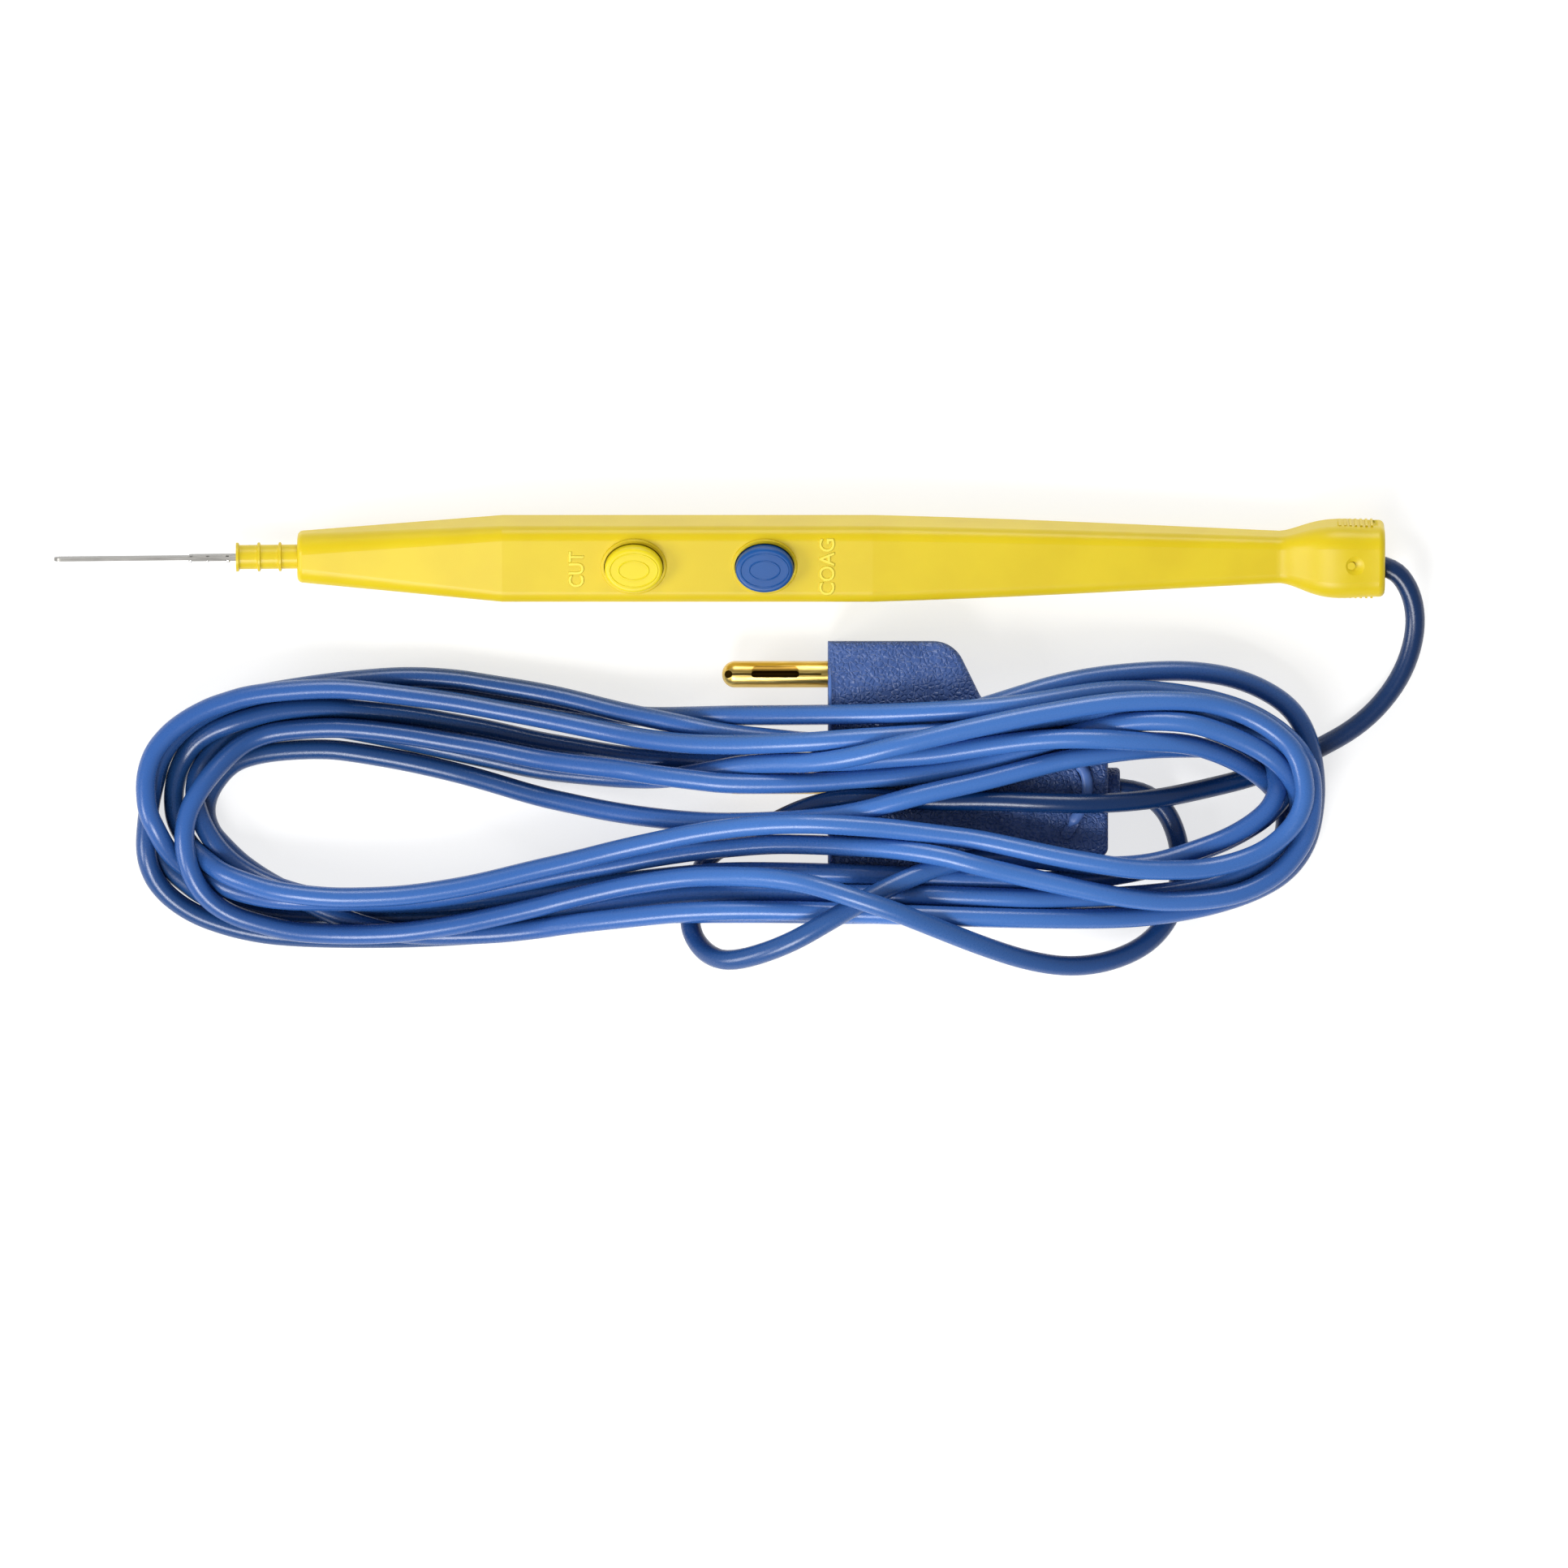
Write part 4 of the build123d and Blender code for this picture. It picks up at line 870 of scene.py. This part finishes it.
# %% Key tops
key_top = 7.9
line_high = 0.12
line_half = 0.12
line_steps = (-1.5, -1.2, -1, -0.67, -0.33, 0, 0.33, 0.67, 1, 1.2, 1.5)
outer_line = (3.68, 2.66)
inner_line = (2.33, 1.48)
middle_rings = [(1.2, 0.7, key_top), (0.5, 0.3, key_top)]
edge_profile = [
    (4.4, 3.5, 5.3), (4.46, 3.6, 5.5), (4.46, 3.6, 6.9), (4.45, 3.59, 7.3), (4.41, 3.55, 7.52),
    (4.33, 3.47, 7.7), (4.21, 3.35, 7.82), (4.07, 3.2, 7.88), (3.95, 3.05, key_top),
    (3.9, 2.92, key_top),
]
cut_key_x = -13.1
coag_key_x = 7.0
key_across = -0.05


def fine_line(half_long, half_wide):
    """Cross-section of a raised line: up = top + high cos²(π s / 2) for s within 1, else top."""
    return [
        (half_long - line_half * step, half_wide - line_half * step,
         key_top + line_high * cos(min(1, abs(step)) * np.pi / 2) ** 2)
        for step in line_steps
    ]


key_profile = edge_profile + fine_line(*outer_line) + fine_line(*inner_line) + middle_rings
for name, key_x, body, slot, material in (
    ("cut_key_top", cut_key_x, "cut_key", "yellow_button", button_yellow),
    ("coag_key_top", coag_key_x, "coag_key", "blue_button", button_blue),
):
    add_surface(name, oval_stack(key_x, key_across, key_profile), body, material)

# %% Plug rib and front edge
around_bead = 32
least_fullness = 0.02


def raised_bead(name, route, half, high, material):
    """Bead on the plug, centred at the height of the cover's top: centre + half f cos t sideways +
    high f sin t upwards.

    The fullness f = sqrt(1 - (1 - s / half)²) rounds both ends over the first half width s.
    """
    route = np.array(route)
    line = sampled(np.column_stack([route, np.full(len(route), plug_high[2] + cover_high)]))
    heading = np.gradient(line, axis=0)
    heading /= np.linalg.norm(heading, axis=1)[:, None]
    sideways = np.column_stack([heading[:, 1], -heading[:, 0], 0 * heading[:, 0]])
    run = np.concatenate([[0], np.cumsum(np.linalg.norm(np.diff(line, axis=0), axis=1))])
    to_end = np.minimum(run, run[-1] - run) / half
    fullness = np.sqrt(np.clip(1 - (1 - to_end).clip(0) ** 2, least_fullness, 1))[:, None, None]
    angle = np.linspace(2 * np.pi, 0, around_bead, endpoint=False)[None, :, None]
    rings = (
        line[:, None]
        + half * fullness * np.cos(angle) * sideways[:, None]
        + high * fullness * np.sin(angle) * upwards
    )
    return add_surface(name, rings * MM, "handle", material)


rib_route = [(53.0, -31.4), (56.3, -32.0), (56.9, -36.4), (54.7, -40.5), (51.3, -43.5)]
edge_route = [(17.1, -13.4), (17.1, -20.0), (17.1, -48.0), (17.1, -55.2)]
raised_bead("plug_rib", rib_route, half=0.85, high=0.75, material=rib_highlight_blue)
raised_bead("plug_front_edge", edge_route, half=0.24, high=0.12, material=rib_highlight_blue)

# %% Press marks on the blade's shank
mark_places = ((-81.4, -0.33), (-78.8, -0.36), (-75.6, -0.35))
mark_rings = ((0.3, -0.15), (0.32, 0), (0.24, 0.09), (0.1, 0.13))
mark_turns = 20
look_from = 50

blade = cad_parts["blade_electrode"]
for number, (x, y) in enumerate(mark_places):
    hit, spot = blade.ray_cast((x * MM, y * MM, look_from * MM), (0, 0, -1))[:2]
    print("mark", number, hit, [round(v / MM, 2) for v in spot])
    if hit:
        rise = spot[2] / MM - axis_height
        across = y * cos(roll) + rise * sin(roll)
        up = -y * sin(roll) + rise * cos(roll)
        profile = [(ring_r, ring_r, up + ring_up) for ring_r, ring_up in mark_rings]
        grid = oval_stack(x, across, profile, mark_turns)
        add_surface(f"press_mark_glint_{number}", grid, "electrode", mark_glint_steel)

# %% [markdown]
# ## Floor and light
#
# The object lies on a white light box: the floor glows a little by itself, which keeps the
# background white and the shadows pale. One lamp in front draws the long highlights on the
# cord, and two weaker ones from the left and the back light the sides. The room is brighter
# near the horizon than overhead, so that flat tops keep their colour.

# %% Floor
floor_size = 3.0
floor_drop = 0.02 * MM
edge = floor_size / 2
floor_mesh = bpy.data.meshes.new("floor")
floor_mesh.from_pydata(
    [(x, y, -floor_drop) for x, y in ((-edge, -edge), (edge, -edge), (edge, edge), (-edge, edge))],
    [], [(0, 1, 2, 3)]
)
floor = bpy.data.objects.new("floor", floor_mesh)
bpy.context.collection.objects.link(floor)
white = (1, 1, 1, 1)
floor_white = start_material(
    "floor_white", "A6A6A6", Roughness=0.9, Specular_IOR_Level=0.1,
    Emission_Color=white, Emission_Strength=0.72,
)[0]
floor_mesh.materials.append(floor_white)
print("floor", floor_size, "m wide")

# %% Light


def soft_lamp(name, place, aim, size, power):
    """A square lamp at a place that looks at a point of the table: metres and watts."""
    lamp = bpy.data.lights.new(name, "AREA")
    lamp.shape = "SQUARE"
    lamp.size = size
    lamp.energy = power
    holder = bpy.data.objects.new(name, lamp)
    holder.location = place
    gaze = np.array(aim) - np.array(place)
    flat = np.hypot(gaze[0], gaze[1])
    holder.rotation_euler = (atan2(flat, -gaze[2]), 0, atan2(gaze[1], gaze[0]) - radians(90))
    bpy.context.collection.objects.link(holder)
    print(name, power, "W")


middle = (0.01, -0.03, 0)
soft_lamp("front_lamp", (-0.22, -0.72, 0.84), middle, size=0.42, power=8.6)
soft_lamp("left_lamp", (-0.8, -0.3, 0.55), middle, size=0.4, power=5)
soft_lamp("back_lamp", (0.1, 0.95, 0.5), middle, size=0.5, power=5.5)

horizon_light = 0.45
overhead_light = 0.27
world = bpy.data.worlds.new("studio")
world.use_nodes = True
room = world.node_tree
gaze = add_node(room, "ShaderNodeTexCoord").outputs["Generated"]
upward = add_node(room, "ShaderNodeSeparateXYZ", {"Vector": gaze}).outputs["Z"]
brightness = remap(room, upward, 0, 1, horizon_light, overhead_light)
background = room.nodes["Background"]
background.inputs["Color"].default_value = white
room.links.new(brightness, background.inputs["Strength"])
bpy.context.scene.world = world
bpy.context.scene.view_settings.view_transform = "Standard"
